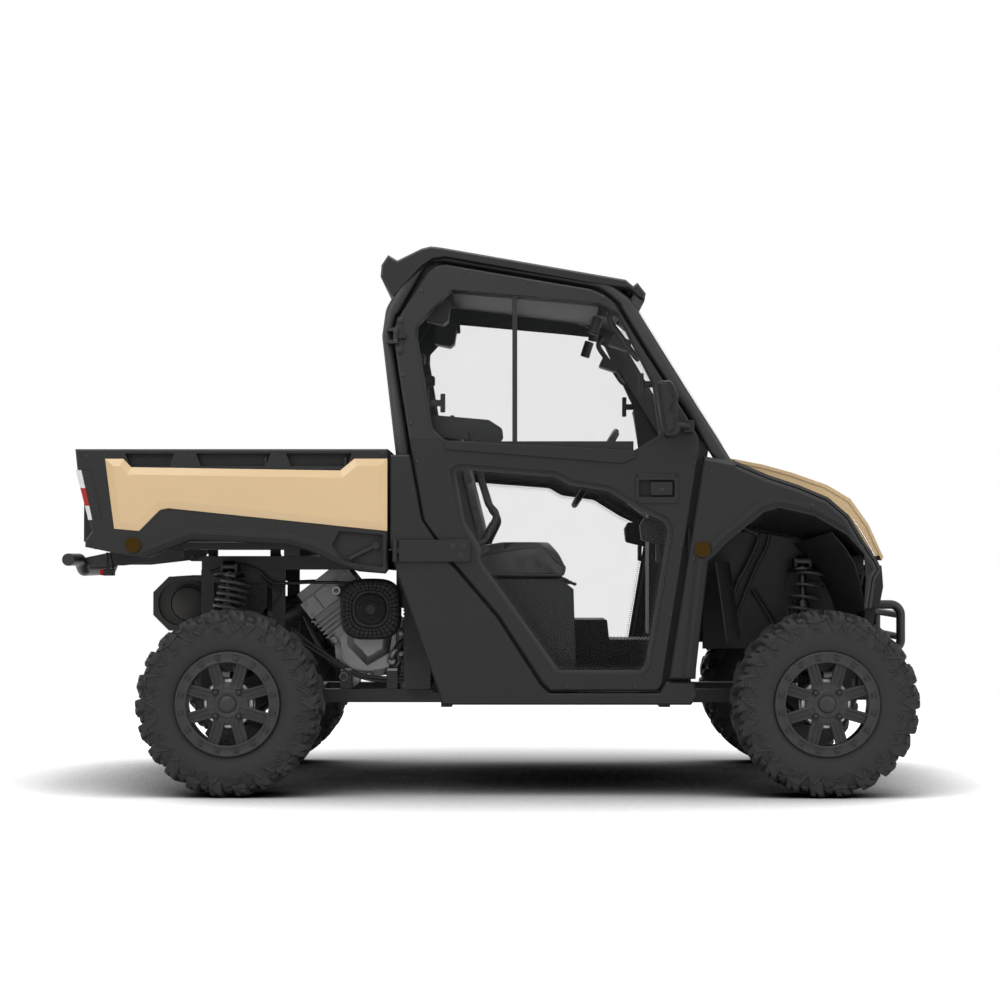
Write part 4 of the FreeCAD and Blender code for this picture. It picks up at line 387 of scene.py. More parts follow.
def gridFaces(rows, columns, closeRows, closeColumns):
    # quads between neighbouring points of a rows x columns grid
    i, j = np.meshgrid(np.arange(rows if closeRows else rows - 1),
                       np.arange(columns if closeColumns else columns - 1), indexing="ij")
    i, j = i.ravel(), j.ravel()
    i2, j2 = (i + 1) % rows, (j + 1) % columns
    return np.stack([i * columns + j, i * columns + j2, i2 * columns + j2, i2 * columns + j], 1)


def gridSurface(points, closeRows=False, closeColumns=False):
    rows, columns = points.shape[:2]
    return points.reshape(-1, 3), gridFaces(rows, columns, closeRows, closeColumns).tolist()


def joined(parts):
    # one point array and one face list from several
    points, faces, start = [], [], 0
    for p, f in parts:
        points.append(np.asarray(p, float))
        faces += [[k + start for k in face] for face in f]
        start += len(p)
    return np.concatenate(points), faces


def mirrored(part):
    # the other side of the vehicle: Y changes sign and each face turns round
    points, faces = part
    return points * np.array([1.0, -1.0, 1.0]), [list(reversed(face)) for face in faces]


def bothSides(part):
    return joined([part, mirrored(part)])


def piece(name, part, body, material, smooth=40.0, bevel=0.0):
    # one object from points and faces, its normals turned outwards
    points, faces = part
    mesh = bpy.data.meshes.new(name)
    mesh.from_pydata(np.asarray(points).tolist(), [], faces)
    mesh.validate()
    shell = bmesh.new()
    shell.from_mesh(mesh)
    bmesh.ops.recalc_face_normals(shell, faces=shell.faces)
    shell.to_mesh(mesh)
    shell.free()
    mesh.materials.append(material)
    mesh.shade_smooth()
    mesh.set_sharp_from_angle(angle=math.radians(smooth))
    made = bpy.data.objects.new(name, mesh)
    bpy.context.scene.collection.objects.link(made)
    if bevel:
        rounding = made.modifiers.new("rounding", "BEVEL")
        rounding.width = bevel
        rounding.segments = 2
        rounding.limit_method = "ANGLE"
        rounding.angle_limit = math.radians(35)
    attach(made, body)
    return made


def blackPiece(name, part, body="root", smooth=40.0, bevel=0.0):
    return piece(name, part, body, materials["moulded_black"], smooth, bevel)


def moved(part, spot):
    return part[0] + np.array(spot), part[1]


def turned(part, rows, origin=(0, 0, 0)):
    # points carried by a 3 x 3 matrix given as its rows, then moved to origin
    points, faces = part
    matrix = np.array(rows, float).T
    out = points @ matrix.T + np.array(origin, float)
    if np.linalg.det(matrix) < 0:
        faces = [list(reversed(face)) for face in faces]
    return out, faces


def frameAlong(axis):
    # three unit rows: two across the axis, and the axis
    z = np.array(axis, float) / np.linalg.norm(axis)
    side = np.array([0.0, 0.0, 1.0]) if abs(z[2]) < 0.9 else np.array([1.0, 0.0, 0.0])
    x = np.cross(side, z)
    x /= np.linalg.norm(x)
    return np.array([x, np.cross(z, x), z])


def revolved(profile, steps=48, axis=(0, 0, 1), origin=(0, 0, 0)):
    # profile of (radius, height) pairs carried round an axis; ends on the axis close the shape
    profile = np.array(profile, float)
    turn = np.linspace(0, 2 * np.pi, steps, endpoint=False)
    radius, height = profile[:, 0][:, None], profile[:, 1][:, None]
    points = np.stack([radius * np.cos(turn), radius * np.sin(turn),
                       height + 0 * turn], -1)
    faces = gridFaces(len(profile), steps, False, True)
    part = (points.reshape(-1, 3), faces.tolist())
    return turned(part, frameAlong(axis), origin)


def smoothPath(points, perSpan=8):
    # Catmull-Rom curve through the points
    p = np.array(points, float)
    p = np.concatenate([[2 * p[0] - p[1]], p, [2 * p[-1] - p[-2]]])
    t = np.linspace(0, 1, perSpan, endpoint=False)[:, None]
    spans = []
    for a, b, c, d in zip(p[:-3], p[1:-2], p[2:-1], p[3:]):
        spans.append(0.5 * (2 * b + (c - a) * t + (2 * a - 5 * b + 4 * c - d) * t ** 2
                            + (3 * b - a - 3 * c + d) * t ** 3))
    return np.concatenate(spans + [p[-2:-1]])


def pathFrames(path):
    # tangents, and side vectors carried along the path without twist
    tangent = np.gradient(path, axis=0)
    tangent /= np.linalg.norm(tangent, axis=1)[:, None]
    side = np.zeros_like(path)
    start = frameAlong(tangent[0])[0]
    for k in range(len(path)):
        start = start - tangent[k] * np.dot(start, tangent[k])
        start /= np.linalg.norm(start)
        side[k] = start
    return tangent, side, np.cross(tangent, side)


def capped(points, steps, rings):
    # closes both ends of a swept grid with a point at each middle
    grid = points.reshape(rings, steps, 3)
    faces = gridFaces(rings, steps, False, True).tolist()
    ends = np.stack([grid[0].mean(0), grid[-1].mean(0)])
    first, last = rings * steps, rings * steps + 1
    for j in range(steps):
        faces.append([first, (j + 1) % steps, j])
        faces.append([last, (rings - 1) * steps + j, (rings - 1) * steps + (j + 1) % steps])
    return np.concatenate([grid.reshape(-1, 3), ends]), faces


def tube(points, radius, steps=12, smooth=True, perSpan=8):
    # a round section carried along the path
    path = smoothPath(points, perSpan) if smooth else np.array(points, float)
    tangent, side, up = pathFrames(path)
    turn = np.linspace(0, 2 * np.pi, steps, endpoint=False)
    ring = (side[:, None, :] * np.cos(turn)[None, :, None]
            + up[:, None, :] * np.sin(turn)[None, :, None])
    radii = np.broadcast_to(np.asarray(radius, float), (len(path),))
    grid = path[:, None, :] + ring * radii[:, None, None]
    return capped(grid, steps, len(path))


def tubes(routes):
    # several tubes, each given as its points, radius and steps
    return joined([tube(points, radius, steps) for points, radius, steps in routes])


def swept(section, path, side, up):
    # a closed flat section (across, up) carried along a path with given side and up vectors
    section = np.array(section, float)
    path = np.array(path, float)
    side = np.broadcast_to(np.array(side, float), path.shape)
    up = np.broadcast_to(np.array(up, float), path.shape)
    grid = (path[:, None, :] + side[:, None, :] * section[None, :, 0, None]
            + up[:, None, :] * section[None, :, 1, None])
    return capped(grid, len(section), len(path))


def slab(outline, low, high):
    # a flat outline of (x, z) points given thickness along Y, closed by its two faces
    outline = np.array(outline, float)
    count = len(outline)
    sheets = [np.stack([outline[:, 0], np.full(count, y), outline[:, 1]], 1) for y in (low, high)]
    faces = [[k, (k + 1) % count, count + (k + 1) % count, count + k] for k in range(count)]
    faces += [list(range(count))[::-1], list(range(count, 2 * count))]
    area = np.sum(outline[:, 0] * np.roll(outline[:, 1], -1)
                  - np.roll(outline[:, 0], -1) * outline[:, 1])
    if area * (high - low) > 0:
        faces = [list(reversed(face)) for face in faces]
    return np.concatenate(sheets), faces


def brick(x0, x1, y0, y1, z0, z1):
    return slab([(x0, z0), (x1, z0), (x1, z1), (x0, z1)], y0, y1)


def boltHead(radius, height, sides=6, washer=1.45):
    # washer, hexagon and a small dished top, along +Z from its seat
    rim = revolved([(0, 0), (radius * washer, 0), (radius * washer, height * 0.25),
                    (radius * 1.02, height * 0.3), (0, height * 0.3)], 16)
    turn = np.linspace(0, 2 * np.pi, sides, endpoint=False)
    head = [(radius, height * 0.28), (radius, height * 0.85), (radius * 0.86, height),
            (radius * 0.5, height), (radius * 0.42, height * 0.8), (0, height * 0.8)]
    rings = [np.stack([r * np.cos(turn), r * np.sin(turn), np.full(sides, z)], 1) for r, z in head]
    hexagon = (np.concatenate(rings), gridFaces(len(head), sides, False, True).tolist())
    return joined([rim, hexagon])


def panHead(radius, height):
    # round push rivet with a dimple
    return revolved([(0, 0), (radius, 0), (radius * 0.94, height * 0.5), (radius * 0.7, height),
                     (radius * 0.34, height), (radius * 0.26, height * 0.55),
                     (0, height * 0.55)], 14)


def scattered(part, places, axis):
    # copies of one part at many places, all facing along the same axis
    rows = frameAlong(axis)
    return joined([turned(part, rows, place) for place in places])


# Tyres: a carcass profile carried round the axle, raised by lugs, ridges and chevrons

tyreLook = {
    "profile": [(0, 0, 0.885), (0.30, 0.52, 0.880), (0.46, 0.80, 0.862), (0.56, 0.905, 0.800),
                (0.64, 0.950, 0.700), (0.74, 0.985, 0.500), (0.86, 0.960, 0.250),
                (0.95, 0.865, 0.070), (1.0, 0.80, 0)],    # shares of half, half width and rise
    "pitches": 11,          # large ridges on each wall
    "columnsPerPitch": 66,
    "rowsPerHalf": 46,
    "lugHeight": 0.020,
    "ridgeHeight": 0.0030,
    "chevronHeight": 0.0016,
    "fillHeight": 0.0014,
    "beadRing": 0.0018,
    "spare": 0.0003,        # room left inside the tyre's own box
    "skew": 0.42,           # how far the lugs lean round the tyre, in lug pitches
}


def step(low, high, value):
    t = np.clip((value - low) / (high - low), 0, 1)
    return t * t * (3 - 2 * t)


def near(value, centre, half, soft):
    # 1 within half of centre, falling to 0 over soft
    return 1 - step(half, half + soft, np.abs(value - centre))


def tyreSurface(width, radius, bead):
    # profile: share s runs from the outer bead (-1) over the crown (0) to the inner bead (1)
    look = tyreLook
    n = look["pitches"]
    columns = n * look["columnsPerPitch"]
    half = look["rowsPerHalf"]
    s = np.linspace(-1, 1, 2 * half + 1)
    a = np.abs(s)
    rise = radius - bead
    knots, wide, high = np.array(look["profile"]).T
    across, climb = np.interp(a, knots, wide), np.interp(a, knots, high)
    for _ in range(3):      # rounds the profile's corners, ends kept
        across[1:-1] = (across[:-2] + 2 * across[1:-1] + across[2:]) / 4
        climb[1:-1] = (climb[:-2] + 2 * climb[1:-1] + climb[2:]) / 4
    lateral = np.sign(s) * across * width / 2
    core = bead + rise * climb
    along = np.gradient(lateral), np.gradient(core)
    size = np.hypot(*along)
    outY, outR = -along[1] / size, along[0] / size   # unit normal of the profile
    turn = np.linspace(0, 2 * np.pi, columns, endpoint=False)
    u = turn[None, :] * n / (2 * np.pi)               # in wall pitches
    side = np.sign(s)[:, None]
    share = a[:, None]
    # crown and shoulder lugs, two to a pitch, the far side half a lug later
    lug = 2 * u + look["skew"] * np.minimum(share, 0.6) * 2.0 + 0.5 * (side > 0)
    phase = lug - np.floor(lug)
    index = np.floor(lug) % 2
    longLug = near(phase, 0.5, 0.235, 0.055) * step(0.015, 0.05, share)
    inner = near(phase, 0.5, 0.235, 0.055) * step(0.19, 0.225, share)
    body = np.where(index < 1, longLug, inner)
    slot = 1 - 0.75 * near(share, 0.30, 0.012, 0.012) * near(phase, 0.5, 0.5, 0.01)
    endShoulder = np.where(index < 1, 0.66, 0.60)
    body = body * slot * (1 - step(endShoulder, endShoulder + 0.035, share))
    stepDown = 1 - 0.34 * step(0.50, 0.53, share) * near(phase, 0.36, 0.12, 0.03)
    bite = 1 - 0.5 * near(phase, 0.5, 0.03, 0.02) * near(share, 0.44, 0.07, 0.02)
    height = look["lugHeight"] * body * stepDown * bite
    # low bar between the lugs on the shoulder, as a step up to each block
    tie = near(phase, 0.0, 0.12, 0.05) + near(phase, 1.0, 0.12, 0.05)
    height = np.maximum(height, look["lugHeight"] * 0.35 * tie * near(share, 0.50, 0.045, 0.02))
    # wall ridge: a zigzag whose inner corners sit at share 0.79 and outer ones at 0.60
    w = u + 0.21 * side
    saw = np.abs((w - np.floor(w)) - 0.5) * 2          # 0 at the inner corner, 1 at the outer
    line = 0.775 - 0.165 * saw ** 0.9
    ridge = near(share, line, 0.017, 0.008) - 0.8 * near(share, line - 0.001, 0.003, 0.003)
    ridge = ridge * step(0.58, 0.61, share)
    height = height + look["ridgeHeight"] * ridge * (1 - body)
    fill = near(share, line - 0.05, 0.03, 0.02) * (saw > 0.25) * step(0.59, 0.62, share)
    height = height + look["fillHeight"] * fill * (1 - body)
    # small double chevrons between the ridges' inner corners, pointing outwards
    c = np.abs((w + 0.5 - np.floor(w + 0.5)) - 0.5)
    for lift in (0.0, 0.026):
        arm = 0.735 - lift + 0.42 * c
        mark = near(share, arm, 0.004, 0.005) * (c < 0.17 - lift)
        height = height + look["chevronHeight"] * mark
    # thin ring above the bead
    height = height + look["beadRing"] * near(share, 0.945, 0.010, 0.008)
    room = width / 2 - look["spare"]
    far = np.minimum(core[:, None] + height * outR[:, None], radius - look["spare"])
    flat = np.clip(lateral[:, None] + height * outY[:, None], -room, room)
    outer = np.stack([far * np.cos(turn), flat + 0 * turn, far * np.sin(turn)], -1)
    # inner wall closes the section just under the beads
    lining = []
    leftWall, rightWall = lateral[0] * 0.90, lateral[-1] * 0.90
    deep = core.min() + rise * 0.35
    for y, r in ((rightWall, bead), (rightWall, deep), (leftWall, deep), (leftWall, bead)):
        lining.append(np.stack([r * np.cos(turn), 0 * turn + y, r * np.sin(turn)], -1))
    grid = np.concatenate([outer, np.array(lining)])
    points, faces = gridSurface(grid, True, True)
    return points, [list(reversed(face)) for face in faces]


# Rims: eight grooved arms in four lobes inside a bolted ring

rimLook = {
    "bead": 0.1805,
    "bolts": 16,
    "armWidth": 0.043,
    "armStart": 0.040,
    "armEnd": 0.158,
    "armTurn": 20.5,        # degrees between an arm's end and the window's middle
    "rootTurn": 33.0,
    "groove": 0.0042,
    "thick": 0.022,
    "faceRise": 0.004,      # the ring's face under the bolt heads
    "hubSink": 0.012,
    "boltCircle": 0.1692,
    "nutCircle": 0.060,
    "pocketDepth": 0.0018,
    "seamDepth": 0.0012,
    # radius and depth behind the face
    "ring": [(0.150, 0.012), (0.150, 0.0015), (0.152, 0), (0.1585, 0), (0.1600, 0.0008),
             (0.1785, 0.0008), (0.180, 0), (0.1875, 0), (0.1895, 0.002), (0.1895, 0.012)],
    "barrelFront": [(0.168, 0.010), (0.1735, 0.011), (0.160, 0.045), (0.152, 0.080),
                    (0.156, 0.120)],
    "barrelBack": [(0.168, 0.86), (0.186, 0.90), (0.1875, 0.915), (0.186, 0.93),
                   (0.1790, 0.915)],                      # radius and share of the width
    "barrelLip": [(0.1790, 0.05), (0.180, 0.012)],
    "hub": [(0, 0.004), (0.030, 0.004), (0.036, 0.0005), (0.047, -0.0015), (0.052, 0.002),
            (0.066, 0.002), (0.076, 0.007), (0.078, 0.024), (0, 0.024)],
    "cap": [(0, -0.0085), (0.012, -0.0083), (0.022, -0.0065), (0.0290, -0.003),
            (0.0310, 0.001), (0.0305, 0.006)],
    "drum": [(0, 0.050), (0.040, 0.050), (0.060, 0.048), (0.088, 0.052), (0.092, 0.060),
             (0.092, 0.094), (0.084, 0.100), (0, 0.100)],
    "drumHub": [(0, 0.034), (0.044, 0.034), (0.044, 0.052), (0, 0.052)],
    "spindle": [(0, 0.098), (0.0195, 0.098), (0.0195, 0.170), (0, 0.170)],
}


def rimSpider(face):
    # arms drawn for the right side, face outwards along -Y at y = face (wheel centre at 0, 0)
    look = rimLook
    w, t, g = look["armWidth"] / 2, look["thick"], look["groove"]
    section = [(-w, -t), (-w, -0.003), (-w + 0.003, 0), (-w + 0.009, 0), (-w + 0.011, -g),
               (-0.0045, -g), (-0.003, -g * 0.35), (0.003, -g * 0.35), (0.0045, -g),
               (w - 0.011, -g), (w - 0.009, 0), (w - 0.003, 0), (w, -0.003), (w, -t)]
    parts = []
    for quarter in range(4):
        for sign in (-1, 1):
            root = math.radians(90 * quarter + sign * look["rootTurn"])
            tip = math.radians(90 * quarter + sign * look["armTurn"])
            start = np.array([math.sin(root), math.cos(root)]) * look["armStart"]
            end = np.array([math.sin(tip), math.cos(tip)]) * look["armEnd"]
            k = np.linspace(0, 1, 9)[:, None]
            flat = start + (end - start) * k
            dip = 0.006 * np.sin(np.pi * k[:, 0]) ** 2
            path = np.stack([flat[:, 0], face + dip * 0.5, flat[:, 1]], 1)
            run = (end - start) / np.linalg.norm(end - start)
            side = (run[1], 0, -run[0])
            parts.append(swept([(a, -b) for a, b in section], path, side, (0, 1, 0)))
    return joined(parts)


def ringed(profile, face, steps):
    # profile of radius and depth behind a face, carried round the axle
    return revolved([(r, -face - deep) for r, deep in profile], steps, (0, -1, 0))


def around(radius, y, count, first):
    # places evenly round the axle, the first at an angle in degrees
    turns = [math.radians(first) + k * 2 * math.pi / count for k in range(count)]
    return [(radius * math.cos(a), y, radius * math.sin(a)) for a in turns]


def rimParts(x, width):
    # every shape is drawn for the right wheel at the axle's middle, then carried to its place
    look = rimLook
    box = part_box("rim_" + ("front" if x > 0 else "rear") + "_right")
    face = box[0][1] + look["faceRise"]
    hubFace = face + look["hubSink"]
    out = (0, -1, 0)
    n = look["bolts"]
    turn = np.linspace(0, 2 * np.pi, n * 12, endpoint=False)
    u = turn * n / (2 * np.pi)
    p = u - np.floor(u)
    pocket = near(p, 0.5, 0.20, 0.05)
    seam = near(p, 0.0, 0.010, 0.012) + near(p, 1.0, 0.010, 0.012)
    rows = []
    for r, deep in look["ring"]:
        sink = look["pocketDepth"] * pocket * (0.159 < r < 0.179)
        sink = sink + look["seamDepth"] * seam * (r < 0.188)
        rows.append(np.stack([r * np.cos(turn), face + deep + sink, r * np.sin(turn)], -1))
    back = [(r, width * k) for r, k in look["barrelBack"]]
    parts = [gridSurface(np.array(rows), False, True),
             ringed(look["barrelFront"] + back + look["barrelLip"], face, 96), rimSpider(hubFace),
             ringed(look["hub"], hubFace, 64), ringed(look["cap"], hubFace, 48)]
    places = around(look["nutCircle"], hubFace + 0.003, 4, 45)
    parts.append(scattered(revolved([(0.0115, 0), (0.0150, 0), (0.0155, 0.004), (0.0125, 0.0055),
                                     (0.0115, 0.001)], 28), places, out))
    nuts = scattered(revolved([(0, 0), (0.0088, 0), (0.0088, 0.010), (0.0075, 0.014),
                               (0.004, 0.0155), (0, 0.0158)], 6), places, out)
    bolts = around(look["boltCircle"], face + 0.0024, n, 180 / n)
    heads = scattered(boltHead(0.0062, 0.0056), bolts, out)
    return joined(parts), joined([nuts, heads]), face


# Sidewall marks: a zigzag and hooks of round bead; points are (share of a repeat, radius)

markLook = {
    "repeats": 10,
    "zigzag": [(0.00, 0.308), (0.15, 0.262), (0.29, 0.292), (0.43, 0.262), (0.58, 0.308),
               (0.78, 0.300)],
    "chevron": [(0.69, 0.258), (0.735, 0.283), (0.86, 0.271), (0.845, 0.262), (0.755, 0.269),
                (0.735, 0.256)],
    "wire": 0.0056,
    "sunk": 0.0012,
    "span": 6,              # stretches between two corners
}


def sidewallMarks(points, faces, width):
    # points (r, turn) on the rim's side of the tyre are carried onto its skin along the axle
    look = markLook
    tree = BVHTree.FromPolygons(points.tolist(), faces)
    period = 2 * np.pi / look["repeats"]

    def onSkin(line):
        out = []
        for r, turn in line:
            start = Vector((r * math.sin(turn), -width, r * math.cos(turn)))
            spot = tree.ray_cast(start, Vector((0, 1, 0)))[0]
            out.append((spot.x, spot.y + look["sunk"], spot.z))
        return np.array(out)

    def fine(corners, closed):
        ends = corners + corners[:1] if closed else corners
        line = []
        for (t0, r0), (t1, r1) in zip(ends[:-1], ends[1:]):
            line += [(r0 + (r1 - r0) * k, (t0 + (t1 - t0) * k) * period)
                     for k in np.linspace(0, 1, look["span"] + 1)[:-1]]
        return line

    ring = []
    for n in range(look["repeats"]):
        ring += [(n + t, r) for t, r in look["zigzag"]]
    ring.append((look["repeats"], look["zigzag"][0][1]))
    marks = [tube(onSkin(fine(ring, False)), look["wire"], 6, smooth=False)]
    for n in range(look["repeats"]):
        hook = onSkin(fine([(n + t, r) for t, r in look["chevron"]], True))
        marks.append(tube(np.concatenate([hook, hook[:1]]), look["wire"] * 0.8, 6, smooth=False))
    return joined(marks)


def drum(face):
    # brake drum, its hub and the spindle behind them
    return joined([ringed(rimLook[name], face, steps)
                   for name, steps in (("drum", 64), ("drumHub", 32), ("spindle", 24))])


def makeWheels():
    for place in ("front", "rear"):
        for side, sided in (("right", lambda part: part), ("left", mirrored)):
            name = place.capitalize() + side.capitalize()
            ends = "_" + place + "_" + side
            body = "wheel" + ends
            low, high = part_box("tyre" + ends)
            centre = [(a + b) / 2 for a, b in zip(low, high)]
            width = high[1] - low[1]
            radius = max((high[0] - low[0]) / 2, centre[2])
            hub = (centre[0], 0.0, centre[2])
            wall = tyreSurface(width, radius, rimLook["bead"])
            tyre = sided(joined([wall, sidewallMarks(*wall, width)]))
            made = piece("tyre" + name, moved(tyre, centre), body, materials["tyre_rubber"],
                         35.0)
            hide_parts("tyre" + ends)
            rim, fixings, face = rimParts(centre[0], width)
            made = piece("rim" + name, moved(sided(rim), hub), body, materials["rim_black"],
                         32.0)
            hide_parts("rim" + ends)
            piece("rimBolts" + name, moved(sided(fixings), hub), body, extras["boltDark"],
                  32.0)
            piece("drum" + name, moved(sided(drum(face)), hub), body, extras["drumGrey"],
                  32.0)
    print("wheels made")


# Springs: a round wire on a helix between its two seats

springLook = {"turns": {1: 5.2, -1: 9.0}, "wire": {1: 0.0066, -1: 0.0074}, "radius": 0.0505,
              "stepsPerTurn": 36, "sides": 12}


def makeSprings():
    look = springLook
    mesh = nodes["springs"].data
    co = np.zeros(len(mesh.vertices) * 3)
    mesh.vertices.foreach_get("co", co)
    co = co.reshape(-1, 3)
    parts = []
    for sx in (-1, 1):
        for sy in (-1, 1):
            own = co[(np.sign(co[:, 0]) == sx) & (np.sign(co[:, 1]) == sy)]
            top = own[own[:, 2] > own[:, 2].max() - 0.016].mean(0)
            low = own[own[:, 2] < own[:, 2].min() + 0.016].mean(0)
            middle = own.mean(0)
            axis = (top - low) / np.linalg.norm(top - low)
            length = own @ axis
            low = middle + axis * (length.min() - middle @ axis)
            long = length.max() - length.min()
            turns, wire = look["turns"][sx], look["wire"][sx]
            k = np.linspace(0, 1, int(turns * look["stepsPerTurn"]))
            climb = wire + (long - 2 * wire) * k
            turn = 2 * np.pi * turns * k
            rows = frameAlong(axis)
            path = (low + axis * climb[:, None]
                    + look["radius"] * (rows[0] * np.cos(turn)[:, None]
                                        + rows[1] * np.sin(turn)[:, None]))
            parts.append(tube(path, wire, look["sides"], smooth=False))
    made = piece("coilSprings", joined(parts), "root", materials["spring_black"],
                 60)
    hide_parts("springs")
    print("springs made")


# Outlines in the side view, metres, as shares of the cab's, nose's and bed's own boxes

def cab(shares):
    return np.array([(-0.3515 + 1.132 * x, 0.376 + 1.590 * z) for x, z in shares])


def nose(shares):
    return np.array([(0.7885 + 0.646 * x, 0.376 + 0.864 * z) for x, z in shares])


def bed(shares):
    return np.array([(-1.5035 + 1.140 * x, 0.808 + 0.454 * z) for x, z in shares])


outlines = {
    "door": cab([(0.070, 0.535), (0.023, 0.738), (0.008, 0.813), (0.010, 0.846), (0.032, 0.880),
                 (0.114, 0.974), (0.143, 0.991), (0.173, 0.994), (0.643, 0.935), (0.689, 0.921),
                 (0.722, 0.901), (0.798, 0.808), (0.948, 0.638), (0.988, 0.586), (0.992, 0.555),
                 (0.872, 0.021), (0.856, 0.004), (0.512, 0.004), (0.486, 0.023), (0.348, 0.174),
                 (0.197, 0.300), (0.105, 0.395)]),
    "upperWindow": cab([(0.188, 0.934), (0.078, 0.849), (0.076, 0.822), (0.127, 0.604),
                        (0.174, 0.572), (0.746, 0.542), (0.789, 0.553), (0.870, 0.588),
                        (0.848, 0.710), (0.736, 0.875), (0.675, 0.901), (0.587, 0.908)]),
    "lowerWindow": cab([(0.189, 0.509), (0.215, 0.523), (0.534, 0.505), (0.579, 0.486),
                        (0.702, 0.473), (0.802, 0.429), (0.892, 0.399), (0.908, 0.372),
                        (0.834, 0.060), (0.809, 0.039), (0.531, 0.039), (0.266, 0.303),
                        (0.273, 0.326), (0.221, 0.388)]),
}
sideNames = (("right", "Right", 1), ("left", "Left", -1))


cabSide = {"half": 0.735, "beltLine": 1.300, "lean": 8.8}      # metres and degrees


def faceY(z, depth=0.0):
    # the right side's outer face: upright to the belt line and leaning in above it
    above = np.maximum(0, np.asarray(z, float) - cabSide["beltLine"])
    return -(cabSide["half"] - above * math.tan(math.radians(cabSide["lean"])) - depth)


def inset(outline, distance):
    # closed outline moved inwards along the bisector of each corner
    p = np.array(outline, float)
    turn = np.sum(p[:, 0] * np.roll(p[:, 1], -1) - np.roll(p[:, 0], -1) * p[:, 1])
    along = np.roll(p, -1, 0) - p
    along /= np.linalg.norm(along, axis=1)[:, None]
    normal = np.stack([-along[:, 1], along[:, 0]], 1) * np.sign(turn)
    before = np.roll(normal, 1, 0)
    share = 1 + np.sum(before * normal, 1)[:, None]
    return p + (before + normal) / share * distance


def easedCorner(a, b, c, radius, steps):
    # the corner at b turned into a short curve that stays near it on short edges
    la, lc = np.linalg.norm(a - b), np.linalg.norm(c - b)
    bend = np.pi - np.arccos(np.clip(np.dot(a - b, c - b) / la / lc, -1, 1))
    cut = min(radius * math.tan(bend / 2), 0.45 * la, 0.45 * lc)
    start, end = b + (a - b) / la * cut, b + (c - b) / lc * cut
    return [(1 - t) ** 2 * start + 2 * t * (1 - t) * b + t * t * end
            for t in np.linspace(0, 1, steps)]


def softened(outline, radius, steps=4):
    # each corner of a closed outline eased
    p, out = np.array(outline, float), []
    for k in range(len(p)):
        out += easedCorner(p[k - 1], p[k], p[(k + 1) % len(p)], radius, steps)
    return np.array(out)


def divided(outline, parts=3):
    # each edge of a closed outline cut into equal parts
    p = np.array(outline, float)
    t = np.linspace(0, 1, parts, endpoint=False)[None, :, None]
    return (p[:, None] + (np.roll(p, -1, 0) - p)[:, None] * t).reshape(-1, 2)


def sideBand(outer, inner, front, back):
    # a ring between two outlines of equal count, on the cab's side, between two depths
    rows = []
    for loop, depth in ((outer, front), (inner, front), (inner, back), (outer, back)):
        rows.append(np.stack([loop[:, 0], faceY(loop[:, 1], depth), loop[:, 1]], 1))
    return gridSurface(np.array(rows), True, True)


def sidePlate(outline, front, back):
    # a flat outline on the cab's side given thickness between two depths
    count = len(outline)
    sheets = [np.stack([outline[:, 0], faceY(outline[:, 1], d), outline[:, 1]], 1)
              for d in (front, back)]
    faces = [[k, (k + 1) % count, count + (k + 1) % count, count + k] for k in range(count)]
    return np.concatenate(sheets), faces + [list(range(count)), list(range(count, 2 * count))]


def loft(lines, thick):
    # a sheet through several lines of equal count, given thickness along its own normals
    grid = np.array(lines, float)
    du, dv = np.gradient(grid, axis=0), np.gradient(grid, axis=1)
    normal = np.cross(du, dv)
    normal /= np.linalg.norm(normal, axis=2)[:, :, None]
    rows, columns = grid.shape[:2]
    loop = np.concatenate([grid, (grid + normal * thick)[::-1]])
    faces = gridFaces(2 * rows, columns, True, False).tolist()
    for column in (0, columns - 1):
        for r in range(rows - 1):
            a, b = r * columns + column, (r + 1) * columns + column
            c, d = (2 * rows - 2 - r) * columns + column, (2 * rows - 1 - r) * columns + column
            faces.append([a, b, c, d])
    return loop.reshape(-1, 3), faces


searchTrees = {}


def struck(node, start, way):
    # where a line from start first meets a CAD node, and the face's normal turned to the start
    if node not in searchTrees:
        mesh = nodes[node].data
        searchTrees[node] = BVHTree.FromPolygons([v.co for v in mesh.vertices],
                                                 [list(p.vertices) for p in mesh.polygons])
    place, normal = searchTrees[node].ray_cast(Vector(start), Vector(way))[:2]
    if place is None:
        return None
    if normal.dot(Vector(way)) > 0:
        normal = -normal
    return np.array(place), np.array(normal)


def seated(part, node, spots, way=(0, 1, 0), sink=0.0003):
    # copies of a part standing on a node where lines through the spots, two numbers each, meet it
    found = []
    for a, b in spots:
        start = {(0, 1, 0): (a, -2.0, b), (0, 0, -1): (a, b, 3.0), (-1, 0, 0): (3.0, a, b),
                 (1, 0, 0): (-3.0, a, b)}[way]
        hit = struck(node, start, way)
        if hit is None:
            print("no face met on", node, a, b)
            continue
        found.append(turned(part, frameAlong(hit[1]), hit[0] - hit[1] * sink))
    return joined(found)


def doorPieces(name, part, material, smooth=40.0, bevel=0.0):
    # the same trim on both doors
    for side, label, sign in sideNames:
        piece(name + label, part if sign > 0 else mirrored(part), "door_" + side + "_body",
              material, smooth, bevel)


# Door openings, windows and door trim

